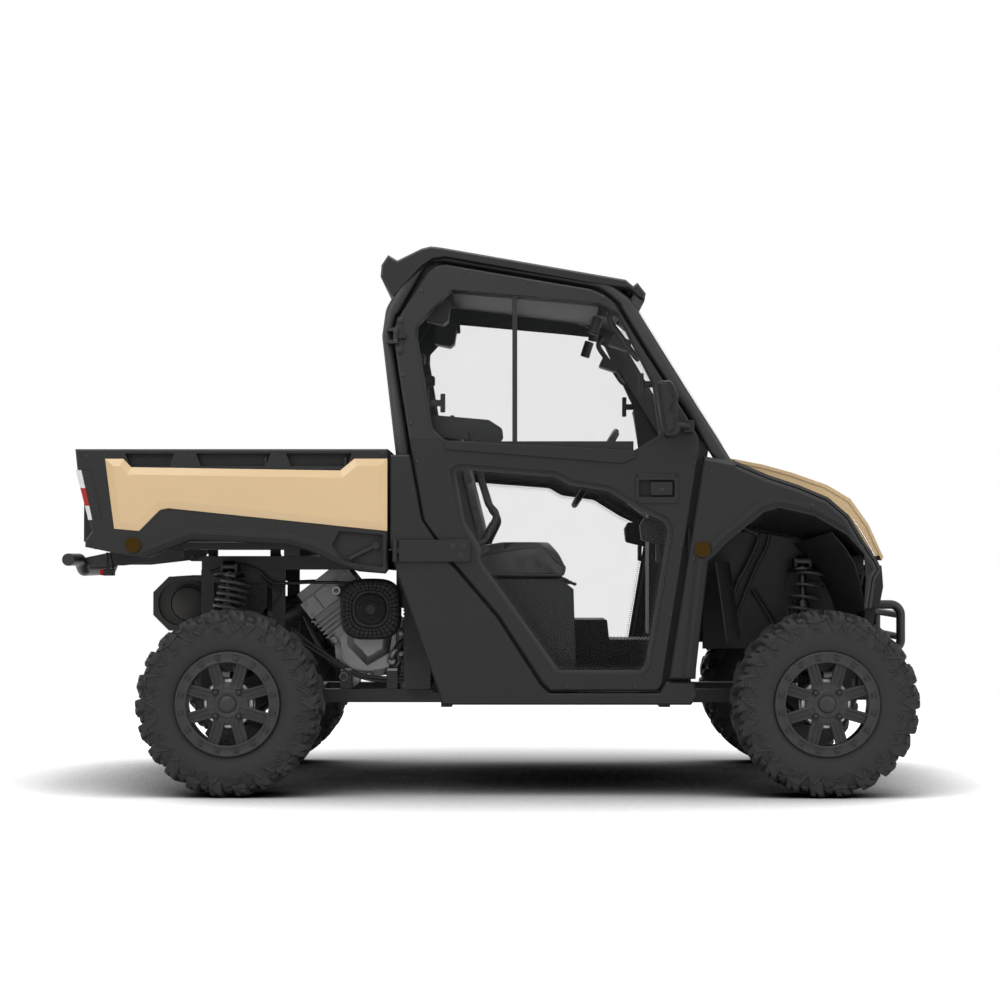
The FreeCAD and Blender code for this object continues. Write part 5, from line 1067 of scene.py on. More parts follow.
doorTrim = {
    "sealReach": 0.036,      # how far the seal band runs out behind the cage tube
    "sealLap": 0.014,        # and in behind the door's edge
    "sealDepth": 0.0625,
    "sealThick": 0.012,
    "sealFoot": 0.377,       # the band stops above the sill
    "windowCorner": 0.02,
    "ringDepths": (0.019, 0.041),
    "fritWidth": 0.020,
    "fritDepths": (0.0258, 0.0272),
    "dotGap": 0.0095,
    "dotDepths": (0.0262, 0.0272),
    "dotRows": ((0.0055, 0.0024), (0.0125, 0.0014)),   # distance past the border, radius
    "rivets": [(-0.086, 1.922), (0.151, 1.882), (0.424, 1.822), (-0.244, 1.849), (-0.308, 1.536),
               (-0.279, 1.357), (-0.257, 1.215), (0.036, 0.652), (0.288, 0.399), (0.536, 0.399),
               (0.664, 0.656), (0.703, 0.909), (0.752, 1.211)],
    "strapBolts": [(-0.126, 0.909), (-0.087, 0.909), (-0.098, 0.872)],
    "strapSlot": [(-0.300, 0.880), (-0.180, 0.880), (-0.180, 0.897), (-0.300, 0.897)],
    "latches": ((0.564, 1.462, 1.544, 1), (-0.165, 1.399, 1.468, -1)),   # x, bar's ends, stem's way
    "latchBar": (0.009, 0.036, 0.056),                 # half width and two depths
    "latchStem": (0.012, 0.008, 0.046, 0.040, 0.052),  # half width, two reaches, two depths
    "rail": [(0.174, 0.576), (0.788, 0.5535), (0.788, 0.538), (0.745, 0.524), (0.174, 0.556)],
    "railDepths": (-0.006, 0.004),
    "hingePlate": [(-0.335, 1.612), (-0.311, 1.612), (-0.309, 1.750), (-0.333, 1.750)],
    "hingeDepths": (-0.004, 0.002),
    "hingeBolts": ((-0.3215, 1.737), (-0.3245, 1.628)),
    "handleFrame": [(0.787, 0.433), (0.924, 0.433), (0.924, 0.4995), (0.787, 0.4995)],
    "button": (0.634, 1.114),
}


def makeDoorTrim():
    look = doorTrim
    black = materials["moulded_black"]
    door = outlines["door"]
    outer, inner = divided(inset(door, -look["sealReach"])), divided(inset(door, look["sealLap"]))
    outer[:, 1] = np.maximum(outer[:, 1], look["sealFoot"])
    band = sideBand(outer, inner, look["sealDepth"], look["sealDepth"] + look["sealThick"])
    piece("doorSeals", bothSides(band), "root", extras["seal"], 30)
    upper, lower = (softened(outlines[name], look["windowCorner"], 5)
                    for name in ("upperWindow", "lowerWindow"))
    rings = [sideBand(inset(loop, -0.003), inset(loop, 0.006), *look["ringDepths"])
             for loop in (upper, lower)]
    doorPieces("windowSeal", joined(rings), extras["seal"], smooth=30)
    dots = [sideBand(inset(lower, -0.001), inset(lower, look["fritWidth"]), *look["fritDepths"])]
    turn = np.linspace(0, 2 * np.pi, 9)[:-1]
    for depth, radius in look["dotRows"]:
        loop = inset(lower, look["fritWidth"] + depth)
        loop = np.concatenate([loop, loop[:1]])
        run = np.concatenate([[0], np.cumsum(np.linalg.norm(np.diff(loop, axis=0), axis=1))])
        at = np.arange(0, run[-1], look["dotGap"])
        for x, z in zip(np.interp(at, run, loop[:, 0]), np.interp(at, run, loop[:, 1])):
            disc = np.stack([x + radius * np.cos(turn), z + radius * np.sin(turn)], 1)
            dots.append(sidePlate(disc, *look["dotDepths"]))
    doorPieces("windowBorder", joined(dots), extras["seal"], smooth=30)
    doorPieces("doorRivets", seated(panHead(0.0080, 0.0034), "door_right", look["rivets"]),
               extras["boltDark"], smooth=35)
    doorPieces("strapBolts", seated(boltHead(0.0078, 0.0062), "door_right", look["strapBolts"]),
               extras["boltDark"], smooth=35)
    slot = softened(look["strapSlot"], 0.008, 4)
    doorPieces("strapSlot", sideBand(slot, inset(slot, 0.0035), -0.0015, 0.012), black)
    latches = []
    half, front, back = look["latchBar"]
    stemHalf, stemNear, stemFar, stemFront, stemBack = look["latchStem"]
    for x, z0, z1, lean in look["latches"]:
        mid = (z0 + z1) / 2
        bar = softened([(x - half, z0), (x + half, z0), (x + half, z1), (x - half, z1)], 0.004)
        stem = [(x + lean * stemNear, mid - stemHalf), (x + lean * stemFar, mid - stemHalf),
                (x + lean * stemFar, mid + stemHalf), (x + lean * stemNear, mid + stemHalf)]
        latches += [sidePlate(bar, front, back), sidePlate(np.array(stem), stemFront, stemBack)]
    doorPieces("windowLatches", joined(latches), black, bevel=0.0015)
    rail = softened(cab(look["rail"]), 0.003, 3)
    doorPieces("windowRail", sidePlate(rail, *look["railDepths"]), black, bevel=0.002)
    plate = softened(look["hingePlate"], 0.006, 3)
    doorPieces("hingePlates", sidePlate(plate, *look["hingeDepths"]), black, bevel=0.0012)
    pins = [(x, float(faceY(z, look["hingeDepths"][0])), z) for x, z in look["hingeBolts"]]
    doorPieces("hingeBolts", scattered(boltHead(0.0075, 0.006), pins, (0, -1, 0.15)),
               extras["boltDark"], smooth=35)
    edge = softened(cab(look["handleFrame"]), 0.006, 4)
    doorPieces("handleFrame", sideBand(inset(edge, -0.001), inset(edge, 0.010), -0.0045, 0.001),
               black, bevel=0.0012)
    button = revolved([(0, 0), (0.0075, 0), (0.0075, 0.0020), (0.0055, 0.0030), (0, 0.0030)], 20)
    doorPieces("handleButton", seated(button, "door_right", [look["button"]]), extras["boltDark"])
    print("door trim made")


# Cab lining: headliner, roof pods, grab handles and belts; every shape is drawn for the right side

liningLook = {
    "roofLine": [(-0.318, 1.842), (-0.300, 1.868), (-0.240, 1.925), (-0.18, 1.925),
                 (0.376, 1.856), (0.470, 1.842), (0.512, 1.822)],
    "linerThick": 0.012,
    "linerHalf": 0.556,
    "rearPanel": [(-0.333, 1.684), (-0.318, 1.684), (-0.300, 1.850), (-0.318, 1.856)],
    "rearPanelHalf": 0.585,
    "console": [(-0.232, 1.752), (-0.168, 1.738), (-0.150, 1.752), (-0.140, 1.815),
                (-0.160, 1.850), (-0.225, 1.850)],
    "consoleSides": (-0.535, -0.420),
    "column": [(-0.165, -0.500, 1.880), (-0.150, -0.500, 1.845), (-0.146, -0.500, 1.800)],
    "slotHeights": (1.775, 1.795, 1.815),
    "speakers": [([(0.437, -0.500, 1.834), (0.431, -0.500, 1.800), (0.425, -0.500, 1.768)],
                  0.020),
                 ([(0.412, -0.500, 1.765), (0.402, -0.500, 1.735), (0.392, -0.500, 1.702)],
                  0.0195)],
    "visor": [(0.448, 1.660), (0.522, 1.636), (0.538, 1.672), (0.468, 1.702)],
    "visorSides": (-0.545, -0.455),
    "grabHandle": [(0.470, -0.560, 1.790), (0.452, -0.556, 1.752), (0.492, -0.566, 1.690),
                   (0.545, -0.590, 1.612), (0.560, -0.596, 1.600)],
    "paneEdge": ((0.546, 1.797), (0.850, 1.292)),      # top and foot of the windshield's side
    "paneShift": 0.0145,
    "belt": [(-0.262, -0.548, 1.600), (-0.258, -0.544, 1.300), (-0.252, -0.538, 0.960)],
    "beltHalf": (0.023, 0.0006),
    "beltGuide": [(-0.275, 1.585), (-0.235, 1.585), (-0.235, 1.625), (-0.275, 1.625)],
    "beltReel": [(-0.275, 0.900), (-0.215, 0.900), (-0.215, 0.975), (-0.275, 0.975)],
    "buckle": [(-0.030, 0.915), (0.004, 0.905), (0.026, 0.985), (-0.006, 0.996)],
    "buckleStud": [(-0.004, 0.992), (0.020, 0.985), (0.023, 0.997), (0.000, 1.004)],
    "buckleY": -0.085,
    "tunnel": [(0.3285, 0.375), (0.3285, 0.625), (0.458, 0.625), (0.466, 0.547),
               (0.726, 0.545), (0.726, 0.375)],
    "tunnelHalf": 0.150,
    "gripGap": 0.014,
    "dashCorner": [(0.566, 0.930), (0.668, 0.905), (0.680, 1.013), (0.575, 1.013), (0.560, 0.985)],
    "dashHook": [(0.618, 0.916), (0.634, 0.916), (0.634, 0.868), (0.662, 0.862), (0.662, 0.828),
                 (0.650, 0.826), (0.650, 0.846), (0.618, 0.852)],
    "sliders": (-0.500, -0.140),
}


def makeCabLining():
    look = liningLook
    below = [(x, z - look["linerThick"]) for x, z in reversed(look["roofLine"])]
    liner = slab(look["roofLine"] + below, -look["linerHalf"], look["linerHalf"])
    back = slab(look["rearPanel"], -look["rearPanelHalf"], look["rearPanelHalf"])
    blackPiece("headliner", joined([liner, back]), bevel=0.003)
    pods = [slab(look["console"], *look["consoleSides"]), tube(look["column"], 0.020, 16)]
    pods += [tube(path, radius, 18) for path, radius in look["speakers"]]
    pods.append(slab(softened(look["visor"], 0.010), *look["visorSides"]))
    piece("roofPods", bothSides(joined(pods)), "root", extras["pod"], 40, 0.004)
    slots = [slab([(-0.226, z), (-0.176, z - 0.006), (-0.176, z - 0.002), (-0.226, z + 0.004)],
                  -0.5375, -0.530) for z in look["slotHeights"]]
    piece("podSlots", bothSides(joined(slots)), "root", extras["seal"], 40)
    # windshield channel between the pane's edges and the cage
    top, low = (np.array(end) for end in look["paneEdge"])
    run = (low - top) / np.linalg.norm(low - top)
    out = np.array([-run[1], run[0]])
    path = np.array([[*(top + (low - top) * t), 0] for t in np.linspace(0, 1, 12)])
    path = np.stack([path[:, 0], faceY(path[:, 1], 0.047), path[:, 1]], 1)
    path[:, [0, 2]] -= out * look["paneShift"]
    seal = swept([(-0.016, -0.012), (0.016, -0.012), (0.016, 0.010), (-0.016, 0.010)], path,
                 (0, 1, 0), (out[0], 0, out[1]))
    piece("pillarSeals", bothSides(joined([seal, tube(look["grabHandle"], 0.011, 14)])), "root",
          extras["seal"], 40, 0.002)
    wide, thick = look["beltHalf"]
    belt = swept([(-wide, -thick), (wide, -thick), (wide, thick), (-wide, thick)],
                 smoothPath(look["belt"], 10), (0, 1, 0), (1, 0, 0))
    piece("beltStraps", bothSides(belt), "root", extras["hose"], 40)
    y = look["buckleY"]
    fixings = [slab(softened(look["beltGuide"], 0.008), -0.580, -0.520),
               slab(softened(look["beltReel"], 0.010), -0.575, -0.505),
               slab(softened(look["buckle"], 0.008), y - 0.012, y + 0.012)]
    blackPiece("beltBuckles", bothSides(joined(fixings)), bevel=0.002)
    piece("buckleButtons", bothSides(slab(look["buckleStud"], y - 0.009, y + 0.009)), "root",
          extras["redPlastic"], 40, 0.0015)
    half = look["tunnelHalf"]
    floor = [slab(softened(look["tunnel"], 0.008, 4), -half, half)]
    floor += [brick(x, x + 0.007, -0.140, 0.140, 0.544, 0.549)
              for x in np.arange(0.480, 0.715, look["gripGap"])]
    floor.append(brick(0.330, 0.640, -half - 0.0025, half + 0.0025, 0.420, 0.4235))
    blackPiece("floorTunnel", joined(floor))
    corner = slab(softened(look["dashCorner"], 0.012, 4), -0.645, -0.560)
    blackPiece("dashCorners", bothSides(corner), bevel=0.006)
    piece("dashBrackets", bothSides(slab(softened(look["dashHook"], 0.003, 3), -0.640, -0.600)),
          "root", extras["pod"], 40, 0.002)
    rails = [brick(-0.120, 0.300, y - 0.016, y + 0.016, 0.7790, 0.7868) for y in look["sliders"]]
    rails += [tube([(0.180, y, 0.774), (0.300, y, 0.772), (0.322, y, 0.766)], 0.0050, 10)
              for y in look["sliders"]]
    rails.append(tube([(0.322, -0.500, 0.766), (0.330, -0.320, 0.766), (0.322, -0.140, 0.766)],
                      0.0055, 10))
    rails += [brick(x, x + 0.030, -0.585, -0.560, 0.756, 0.784) for x in (0.000, 0.075)]
    piece("seatSliders", bothSides(joined(rails)), "root", extras["boltDark"], 40,
          0.001)
    print("cab lining made")


# Nose: wheel-arch skirts, near-black inner sheets painted as shade, hoses, lamps and grille

noseLook = {
    "stations": (-0.400, -0.470, -0.560, -0.650, -0.728),   # Y of the skirt's lines
    "innerLine": [(1.150, 0.918), (1.196, 0.872), (1.234, 0.819), (1.268, 0.770),
                  (1.292, 0.720), (1.312, 0.655)],
    "outerLine": [(1.250, 0.958), (1.296, 0.905), (1.330, 0.850), (1.350, 0.790),
                  (1.362, 0.730), (1.372, 0.672)],
    "skirtThick": 0.003,
    "wall": [(0.812, 0.520), (1.372, 0.520), (1.372, 0.850), (1.200, 0.935), (1.000, 0.965),
             (0.812, 0.965)],
    "tray": [(0.820, 0.900), (1.280, 0.900), (1.300, 0.860), (1.300, 0.840), (0.820, 0.880)],
    "finGap": 0.006,
    "pipes": [([(0.962, -0.372, 0.985), (0.978, -0.372, 0.972), (1.015, -0.372, 0.956),
                (1.020, -0.374, 0.929), (0.977, -0.376, 0.834), (0.946, -0.378, 0.781),
                (0.915, -0.380, 0.700)], 0.0085, 14),
              ([(1.064, -0.366, 0.955), (1.060, -0.366, 0.930), (1.048, -0.368, 0.895),
                (1.010, -0.370, 0.823), (0.955, -0.374, 0.690), (0.925, -0.374, 0.600)],
               0.0075, 14),
              ([(1.000, -0.362, 0.745), (1.066, -0.362, 0.640), (1.100, -0.362, 0.580)], 0.006, 12),
              ([(1.010, -0.356, 0.752), (1.076, -0.356, 0.647), (1.110, -0.356, 0.590)], 0.003, 10),
              ([(1.140, -0.372, 0.860), (1.120, -0.400, 0.760), (1.130, -0.470, 0.600),
                (1.150, -0.545, 0.500), (1.160, -0.575, 0.460)], 0.0042, 10)],
    "rivets": [(0.748, 0.858), (0.812, 1.175), (1.180, 1.055), (1.362, 0.905)],
    "cheekTop": [(0.186, 0.992), (0.368, 0.967), (0.538, 0.932), (0.742, 0.878), (0.873, 0.818),
                 (0.974, 0.711), (1.055, 0.580)],
    "cheekFoot": [(0.975, 0.566), (0.897, 0.640), (0.818, 0.733), (0.700, 0.810), (0.538, 0.862),
                  (0.368, 0.905), (0.186, 0.952)],
    "cheekSides": (-0.4970, -0.4860),
    "filler": [(1.290, 0.800), (1.408, 0.800), (1.408, 0.885), (1.372, 0.905), (1.290, 0.905)],
    "lampStrip": [(1.362, -0.4985, 1.010), (1.405, -0.4985, 0.942), (1.432, -0.4985, 0.892),
                  (1.452, -0.4985, 0.846)],
}


def makeNoseTrim():
    look = noseLook
    first, last = look["stations"][0], look["stations"][-1]
    inner, outer = np.array(look["innerLine"]), np.array(look["outerLine"])
    skirt, splash = [], []
    for y in look["stations"]:
        t = step(0, 1, (first - y) / (first - last))
        flat = inner * (1 - t) + outer * t
        skirt.append(np.stack([flat[:, 0], np.full(len(flat), y), flat[:, 1]], 1))
        splash.append([(0.908 - 0.080 * t + 0.010 * k, y, 0.850 - 0.072 * k) for k in range(5)])
    liners = joined([loft(lines, look["skirtThick"]) for lines in (skirt, splash)])
    blackPiece("archSkirts", bothSides(liners), smooth=50)
    # painted shade: near-black upright sheets and a tray stand inside the nose where only shade
    # shows between the parts
    wall = slab(look["wall"], -0.346, -0.338)
    piece("underhoodShadeSheets", joined([bothSides(wall), slab(look["tray"], -0.335, 0.335)]), "root",
          extras["shadow"], 40, 0.002)
    core = [brick(1.300, 1.345, -0.250, 0.250, 0.480, 0.860)]
    core += [brick(1.3450, 1.3465, -0.245, 0.245, z, z + 0.0016)
             for z in np.arange(0.486, 0.856, look["finGap"])]
    piece("radiator", joined(core), "root", extras["hose"], 30)
    piece("frontHoses", bothSides(tubes(look["pipes"])), "root", extras["hose"],
          50)
    rivets = seated(panHead(0.0075, 0.0030), "front_fenders", look["rivets"])
    piece("fenderRivets", bothSides(rivets), "root", extras["boltDark"], 35)
    cheek = slab(nose(look["cheekTop"] + look["cheekFoot"]), *look["cheekSides"])
    piece("hoodCheeks", bothSides(cheek), "hood_body", materials["tan_panel"], 30,
          0.002)
    # painted shade: a near-black filler sheet where only shade shows at the nose's sides
    piece("noseShadeFillers", bothSides(slab(look["filler"], -0.462, -0.455)), "root", extras["shadow"],
          40)
    piece("hoodLampStrip", bothSides(tube(look["lampStrip"], 0.0016, 8)), "hood_body",
          extras["chrome"], 50)
    bars = [brick(1.4560, 1.4635, -0.250, 0.250, z, z + 0.006)
            for z in np.arange(0.600, 0.725, 0.022)]
    bars += [brick(1.4545, 1.4620, y, y + 0.006, 0.592, 0.736)
             for y in np.arange(-0.245, 0.25, 0.035)]
    blackPiece("grilleBars", joined(bars), smooth=30)
    print("nose trim made")


# Cage sleeves: an oval trim over each side tube that runs up to the door's edge

cageLook = {
    "line": [(0.100, 0.235), (0.048, 0.330), (0.045, 0.464), (-0.017, 0.822), (-0.006, 0.882),
             (0.096, 1.017), (0.680, 0.945), (0.765, 0.900), (0.911, 0.723), (1.038, 0.578),
             (1.092, 0.515)],
    "bend": 0.070,
    "longest": 0.03,         # longest stretch between two sections
    "doorGap": 0.006,
    "outer": 0.0198,
    "innerMost": 0.034,
    "depth": 0.0205,
    "steps": 28,
}


def easedLine(points, radius, longest):
    # open line with its inner corners rounded and its long stretches divided
    p = np.array(points, float)
    out = [p[0]]
    for a, b, c in zip(p[:-2], p[1:-1], p[2:]):
        out += easedCorner(a, b, c, radius, 6)
    out.append(p[-1])
    fine = [out[0]]
    for a, b in zip(out[:-1], out[1:]):
        count = max(1, int(np.linalg.norm(b - a) / longest))
        fine += [a + (b - a) * k / count for k in range(1, count + 1)]
    return np.array(fine)


def makeCageSleeves():
    look = cageLook
    line = easedLine(cab(look["line"]), look["bend"], look["longest"])
    edge = divided(outlines["door"], 24)
    along = np.gradient(line, axis=0)
    along /= np.linalg.norm(along, axis=1)[:, None]
    inward = np.stack([along[:, 1], -along[:, 0]], 1)
    middle = outlines["door"].mean(0)
    inward *= np.sign(np.sum(inward * (middle - line), 1))[:, None]
    reach = np.linalg.norm(line[:, None] - edge[None], axis=2).min(1)
    inner = np.clip(reach - look["doorGap"], look["outer"], look["innerMost"])
    for _ in range(4):
        inner[1:-1] = np.minimum(inner[1:-1], (inner[:-2] + 2 * inner[1:-1] + inner[2:]) / 4)
    half = (look["outer"] + inner) / 2
    centre = line + inward * ((inner - look["outer"]) / 2)[:, None]
    turn = np.linspace(0, 2 * np.pi, look["steps"], endpoint=False)
    rows = []
    for (x, z), (u, v), wide in zip(centre, inward, half):
        c = np.sign(np.cos(turn)) * np.abs(np.cos(turn)) ** 0.85 * wide
        s = np.sign(np.sin(turn)) * np.abs(np.sin(turn)) ** 0.85 * look["depth"]
        rows.append(np.stack([x + u * c, faceY(z, 0.045) + s, z + v * c], 1))
    sleeve = capped(np.array(rows), look["steps"], len(rows))
    piece("cageSleeves", bothSides(sleeve), "root", materials["frame_black"], 50)
    print("cage sleeves made")


# Mirrors: a faceted head whose outline shrinks as it goes outwards, over a clamp arm

mirrorLook = {
    "outline": [(0.6040, 1.4900), (0.6140, 1.5050), (0.6580, 1.5080), (0.6700, 1.4960),
                (0.6890, 1.4510), (0.6850, 1.3640), (0.6960, 1.3240), (0.6820, 1.3010),
                (0.6460, 1.2970), (0.6340, 1.3120), (0.6100, 1.4650)],
    "corner": 0.010,
    "rings": ((-0.760, 0.90), (-0.764, 0.97), (-0.792, 1.0), (-0.820, 0.985), (-0.832, 0.93)),
    "ridge": [(0.624, 1.492), (0.648, 1.492), (0.667, 1.440), (0.650, 1.402), (0.672, 1.372),
              (0.668, 1.330), (0.648, 1.318), (0.634, 1.400)],
    "crease": [(0.652, -0.8425, 1.488), (0.672, -0.838, 1.443), (0.652, -0.8435, 1.402),
               (0.676, -0.838, 1.368)],
    "arm": [(0.680, -0.790, 1.345), (0.705, -0.770, 1.346), (0.728, -0.748, 1.342)],
    "clamp": [(0.712, 1.322), (0.752, 1.322), (0.752, 1.366), (0.712, 1.366)],
    "glassEdge": 0.008,
}


def makeMirrors():
    look = mirrorLook
    soft = softened(look["outline"], look["corner"], 3)
    middle = soft.mean(0)
    rows = []
    for y, k in look["rings"]:
        p = middle + (soft - middle) * k
        rows.append(np.stack([p[:, 0], np.full(len(p), y), p[:, 1]], 1))
    head = joined([capped(np.array(rows), len(soft), len(rows)),
                   slab(look["ridge"], -0.8425, -0.828),
                   tube(look["crease"], 0.0030, 8, smooth=False),
                   tube(look["arm"], 0.011, 14),
                   slab(softened(look["clamp"], 0.008), -0.749, -0.722)])
    glass = slab(inset(soft, look["glassEdge"]), -0.7605, -0.7575)
    for side, label, sign in sideNames:
        body = "door_" + side + "_body"
        made = piece("mirrorHead" + label, head if sign > 0 else mirrored(head), body,
                     materials["moulded_black"], 30, 0.003)
        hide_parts("mirror_" + side)
        piece("mirrorGlass" + label, glass if sign > 0 else mirrored(glass), body,
              extras["mirrorGlass"], 40)
    print("mirrors made")


# Seats: two cushions and two backs, blown up as cloth from a slightly smaller shape, and piping

seatLook = {
    "cushion": {
        "outline": [(0.180, 0.2590), (0.188, 0.315), (0.415, 0.339), (0.505, 0.341),
                    (0.552, 0.301), (0.588, 0.292), (0.572, 0.2590)],
        "cap": 0.024,
        "seams": (0.005, 0.115, 0.215),              # X of the sewn channels
        "room": ((-0.1500, 0.3060), (0.7870, 0.9245)),
    },
    "back": {
        "outline": [(0.231, 0.325), (0.298, 0.332), (0.206, 0.600), (0.152, 0.641),
                    (0.116, 0.636), (0.128, 0.582)],
        "cap": 0.022,
        "seams": (1.010, 1.120, 1.230, 1.320),       # Z of the sewn channels
        "room": ((-0.2255, -0.0100), (0.8900, 1.4010)),
    },
    "sides": (-0.590, -0.045),
    "sideRoom": 0.004,
    "shrink": 0.005,
    "voxel": 0.0085,
    "pressure": 4.0,
    "frames": 20,
    "channel": 0.0045,
    "bolster": 0.52,         # share of the half width where the two long seams run
    "piping": 0.0030,
    "fill": 0.7,
}


def arrays(mesh):
    points = np.empty(len(mesh.vertices) * 3)
    mesh.vertices.foreach_get("co", points)
    return points.reshape(-1, 3), [list(f.vertices) for f in mesh.polygons]


def blownUp(name, part, cap):
    # an even skin over the shape, then steps of cloth under pressure; no point moves further
    # than the cap
    look = seatLook
    mesh = bpy.data.meshes.new(name)
    mesh.from_pydata(part[0].tolist(), [], part[1])
    made = bpy.data.objects.new(name, mesh)
    bpy.context.scene.collection.objects.link(made)
    skin = made.modifiers.new("skin", "REMESH")
    skin.mode = "VOXEL"
    skin.voxel_size = look["voxel"]
    made.data = bpy.data.meshes.new_from_object(
        made.evaluated_get(bpy.context.evaluated_depsgraph_get()))
    made.modifiers.clear()
    start, faces = arrays(made.data)
    points = start.copy()
    cloth = made.modifiers.new("cloth", "CLOTH")
    cloth.settings.quality = 5
    cloth.settings.use_pressure = True
    cloth.settings.uniform_pressure_force = look["pressure"]
    cloth.settings.effector_weights.gravity = 0.0
    cloth.point_cache.frame_start = 1
    cloth.point_cache.frame_end = look["frames"]
    scene = bpy.context.scene
    for frame in range(1, look["frames"] + 1):
        scene.frame_set(frame)
    held = made.evaluated_get(bpy.context.evaluated_depsgraph_get())
    points = arrays(held.to_mesh())[0]
    held.to_mesh_clear()
    scene.frame_set(1)
    bpy.data.objects.remove(made)
    move = points - start
    far = np.linalg.norm(move, axis=1)
    move *= np.minimum(1.0, cap / np.maximum(far, 1e-9))[:, None]
    print(name, len(points), "points, moved up to", round(float(far.max()) * 1000, 1), "mm")
    return start + move, faces


def sewn(kind, points):
    # channels between the bolsters, then the room the pad has between its neighbours
    look = seatLook
    own = look[kind]
    low, high = look["sides"]
    x, y, z = points.T
    across = (y - (low + high) / 2) / ((high - low) / 2)
    run = x if kind == "cushion" else z
    sunk = sum(near(across, k, 0.010, 0.020) for k in (-look["bolster"], look["bolster"]))
    sunk = sunk + (sum(near(run, k, 0.003, 0.006) for k in own["seams"])
                   * step(0.0, 0.04, look["bolster"] - np.abs(across)))
    sunk = look["channel"] * np.clip(sunk, 0, 1)
    if kind == "cushion":
        z = z - sunk * step(0.845, 0.885, z)
    else:
        front = x + 0.052 + (z - 0.90) * 0.255
        x = x - sunk * step(0.0, 0.02, front) * step(0.93, 0.96, z)
    return np.stack([np.clip(x, *own["room"][0]),
                     np.clip(y, low - look["sideRoom"], high + look["sideRoom"]),
                     np.clip(z, *own["room"][1])], 1)


def makeSeats():
    look = seatLook
    low, high = look["sides"]
    shapes = {}
    for kind in ("cushion", "back"):
        outline = softened(inset(cab(look[kind]["outline"]), look["shrink"]), 0.013, 4)
        part = slab(outline, low + look["shrink"], high - look["shrink"])
        points, faces = blownUp(kind, part, look[kind]["cap"])
        shapes[kind] = sewn(kind, points), faces
    for kind, (points, faces) in shapes.items():
        tree = BVHTree.FromPolygons(points.tolist(), faces)
        loop = divided(softened(inset(cab(look[kind]["outline"]), 0.010), 0.030, 5), 2)
        pipes = []
        for y in (low + 0.010, high - 0.010):
            path = np.array([list(tree.find_nearest(Vector((x, y, z)))[0]) for x, z in loop])
            for _ in range(3):
                path = (np.roll(path, 1, 0) + 2 * path + np.roll(path, -1, 0)) / 4
            pipes.append(tube(np.concatenate([path, path[:2]]), look["piping"], 8, smooth=False))
        trim = joined(pipes)
        name = "seat" + kind.capitalize()
        for label, side in (("Right", lambda part: part), ("Left", mirrored)):
            made = piece(name + label, side((points, faces)), "root", materials["seat_vinyl"],
                         60)
            made.modifiers.new("calm", "SMOOTH").iterations = 7
            finer = made.modifiers.new("finer", "SUBSURF")
            finer.levels = finer.render_levels = 1
            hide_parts("seat_cushions" if kind == "cushion" else "seat_backs")
            piece(name + "Piping" + label, side(trim), "root", extras["piping"], 60)
    print("seats made")


# Rear: bumper lamp, muffler fixings, plates and cables

rearLook = {
    "lampStraps": (([(-1.427, 0.822), (-1.421, 0.822), (-1.424, 0.886), (-1.430, 0.886)], -0.500),
                   ([(-1.413, 0.822), (-1.407, 0.822), (-1.420, 0.886), (-1.426, 0.886)], -0.457)),
    "strapWide": 0.012,
    "lens": [(-1.4520, 0.8000), (-1.4405, 0.8000), (-1.4405, 0.8225), (-1.4520, 0.8225)],
    "mufflerMiddle": (-1.1535, 0.6895),
    "mufflerBolts": [(x, y, 0.788) for y in (-0.150, 0.150) for x in (-1.190, -1.150)],
    "plate": [(-1.090, 0.820), (-1.090, 0.640), (-1.062, 0.600), (-0.900, 0.600),
              (-0.852, 0.680), (-0.852, 0.820)],
    "plateHoles": ((-1.070, 0.790), (-1.064, 0.700), (-0.878, 0.780), (-0.872, 0.735),
                   (-0.868, 0.690), (-1.050, 0.640)),
    "longCable": ([(-1.060, -0.330, 0.812), (-0.960, -0.332, 0.838), (-0.885, -0.332, 0.822),
                   (-0.830, -0.332, 0.775), (-0.790, -0.332, 0.768), (-0.640, -0.332, 0.772),
                   (-0.420, -0.332, 0.764)], 0.0062, 10),
    "cables": [([(-0.790, -0.330, 0.770), (-0.800, -0.322, 0.730), (-0.828, -0.300, 0.672)],
                0.0035, 8),
               ([(-0.868, -0.334, 0.790), (-0.815, -0.334, 0.746), (-0.788, -0.330, 0.772)],
                0.004, 8),
               ([(-0.760, -0.240, 0.596), (-0.700, -0.250, 0.548), (-0.610, -0.262, 0.486),
                 (-0.520, -0.268, 0.428), (-0.440, -0.268, 0.407), (-0.300, -0.266, 0.402)],
                0.0080, 12),
               ([(-0.770, -0.250, 0.584), (-0.700, -0.262, 0.530), (-0.600, -0.270, 0.468),
                 (-0.520, -0.274, 0.418), (-0.430, -0.274, 0.394), (-0.300, -0.272, 0.390)],
                0.0055, 12),
               ([(-0.720, -0.100, 0.640), (-0.680, -0.140, 0.560), (-0.620, -0.160, 0.470),
                 (-0.560, -0.165, 0.420)], 0.010, 12)],
}


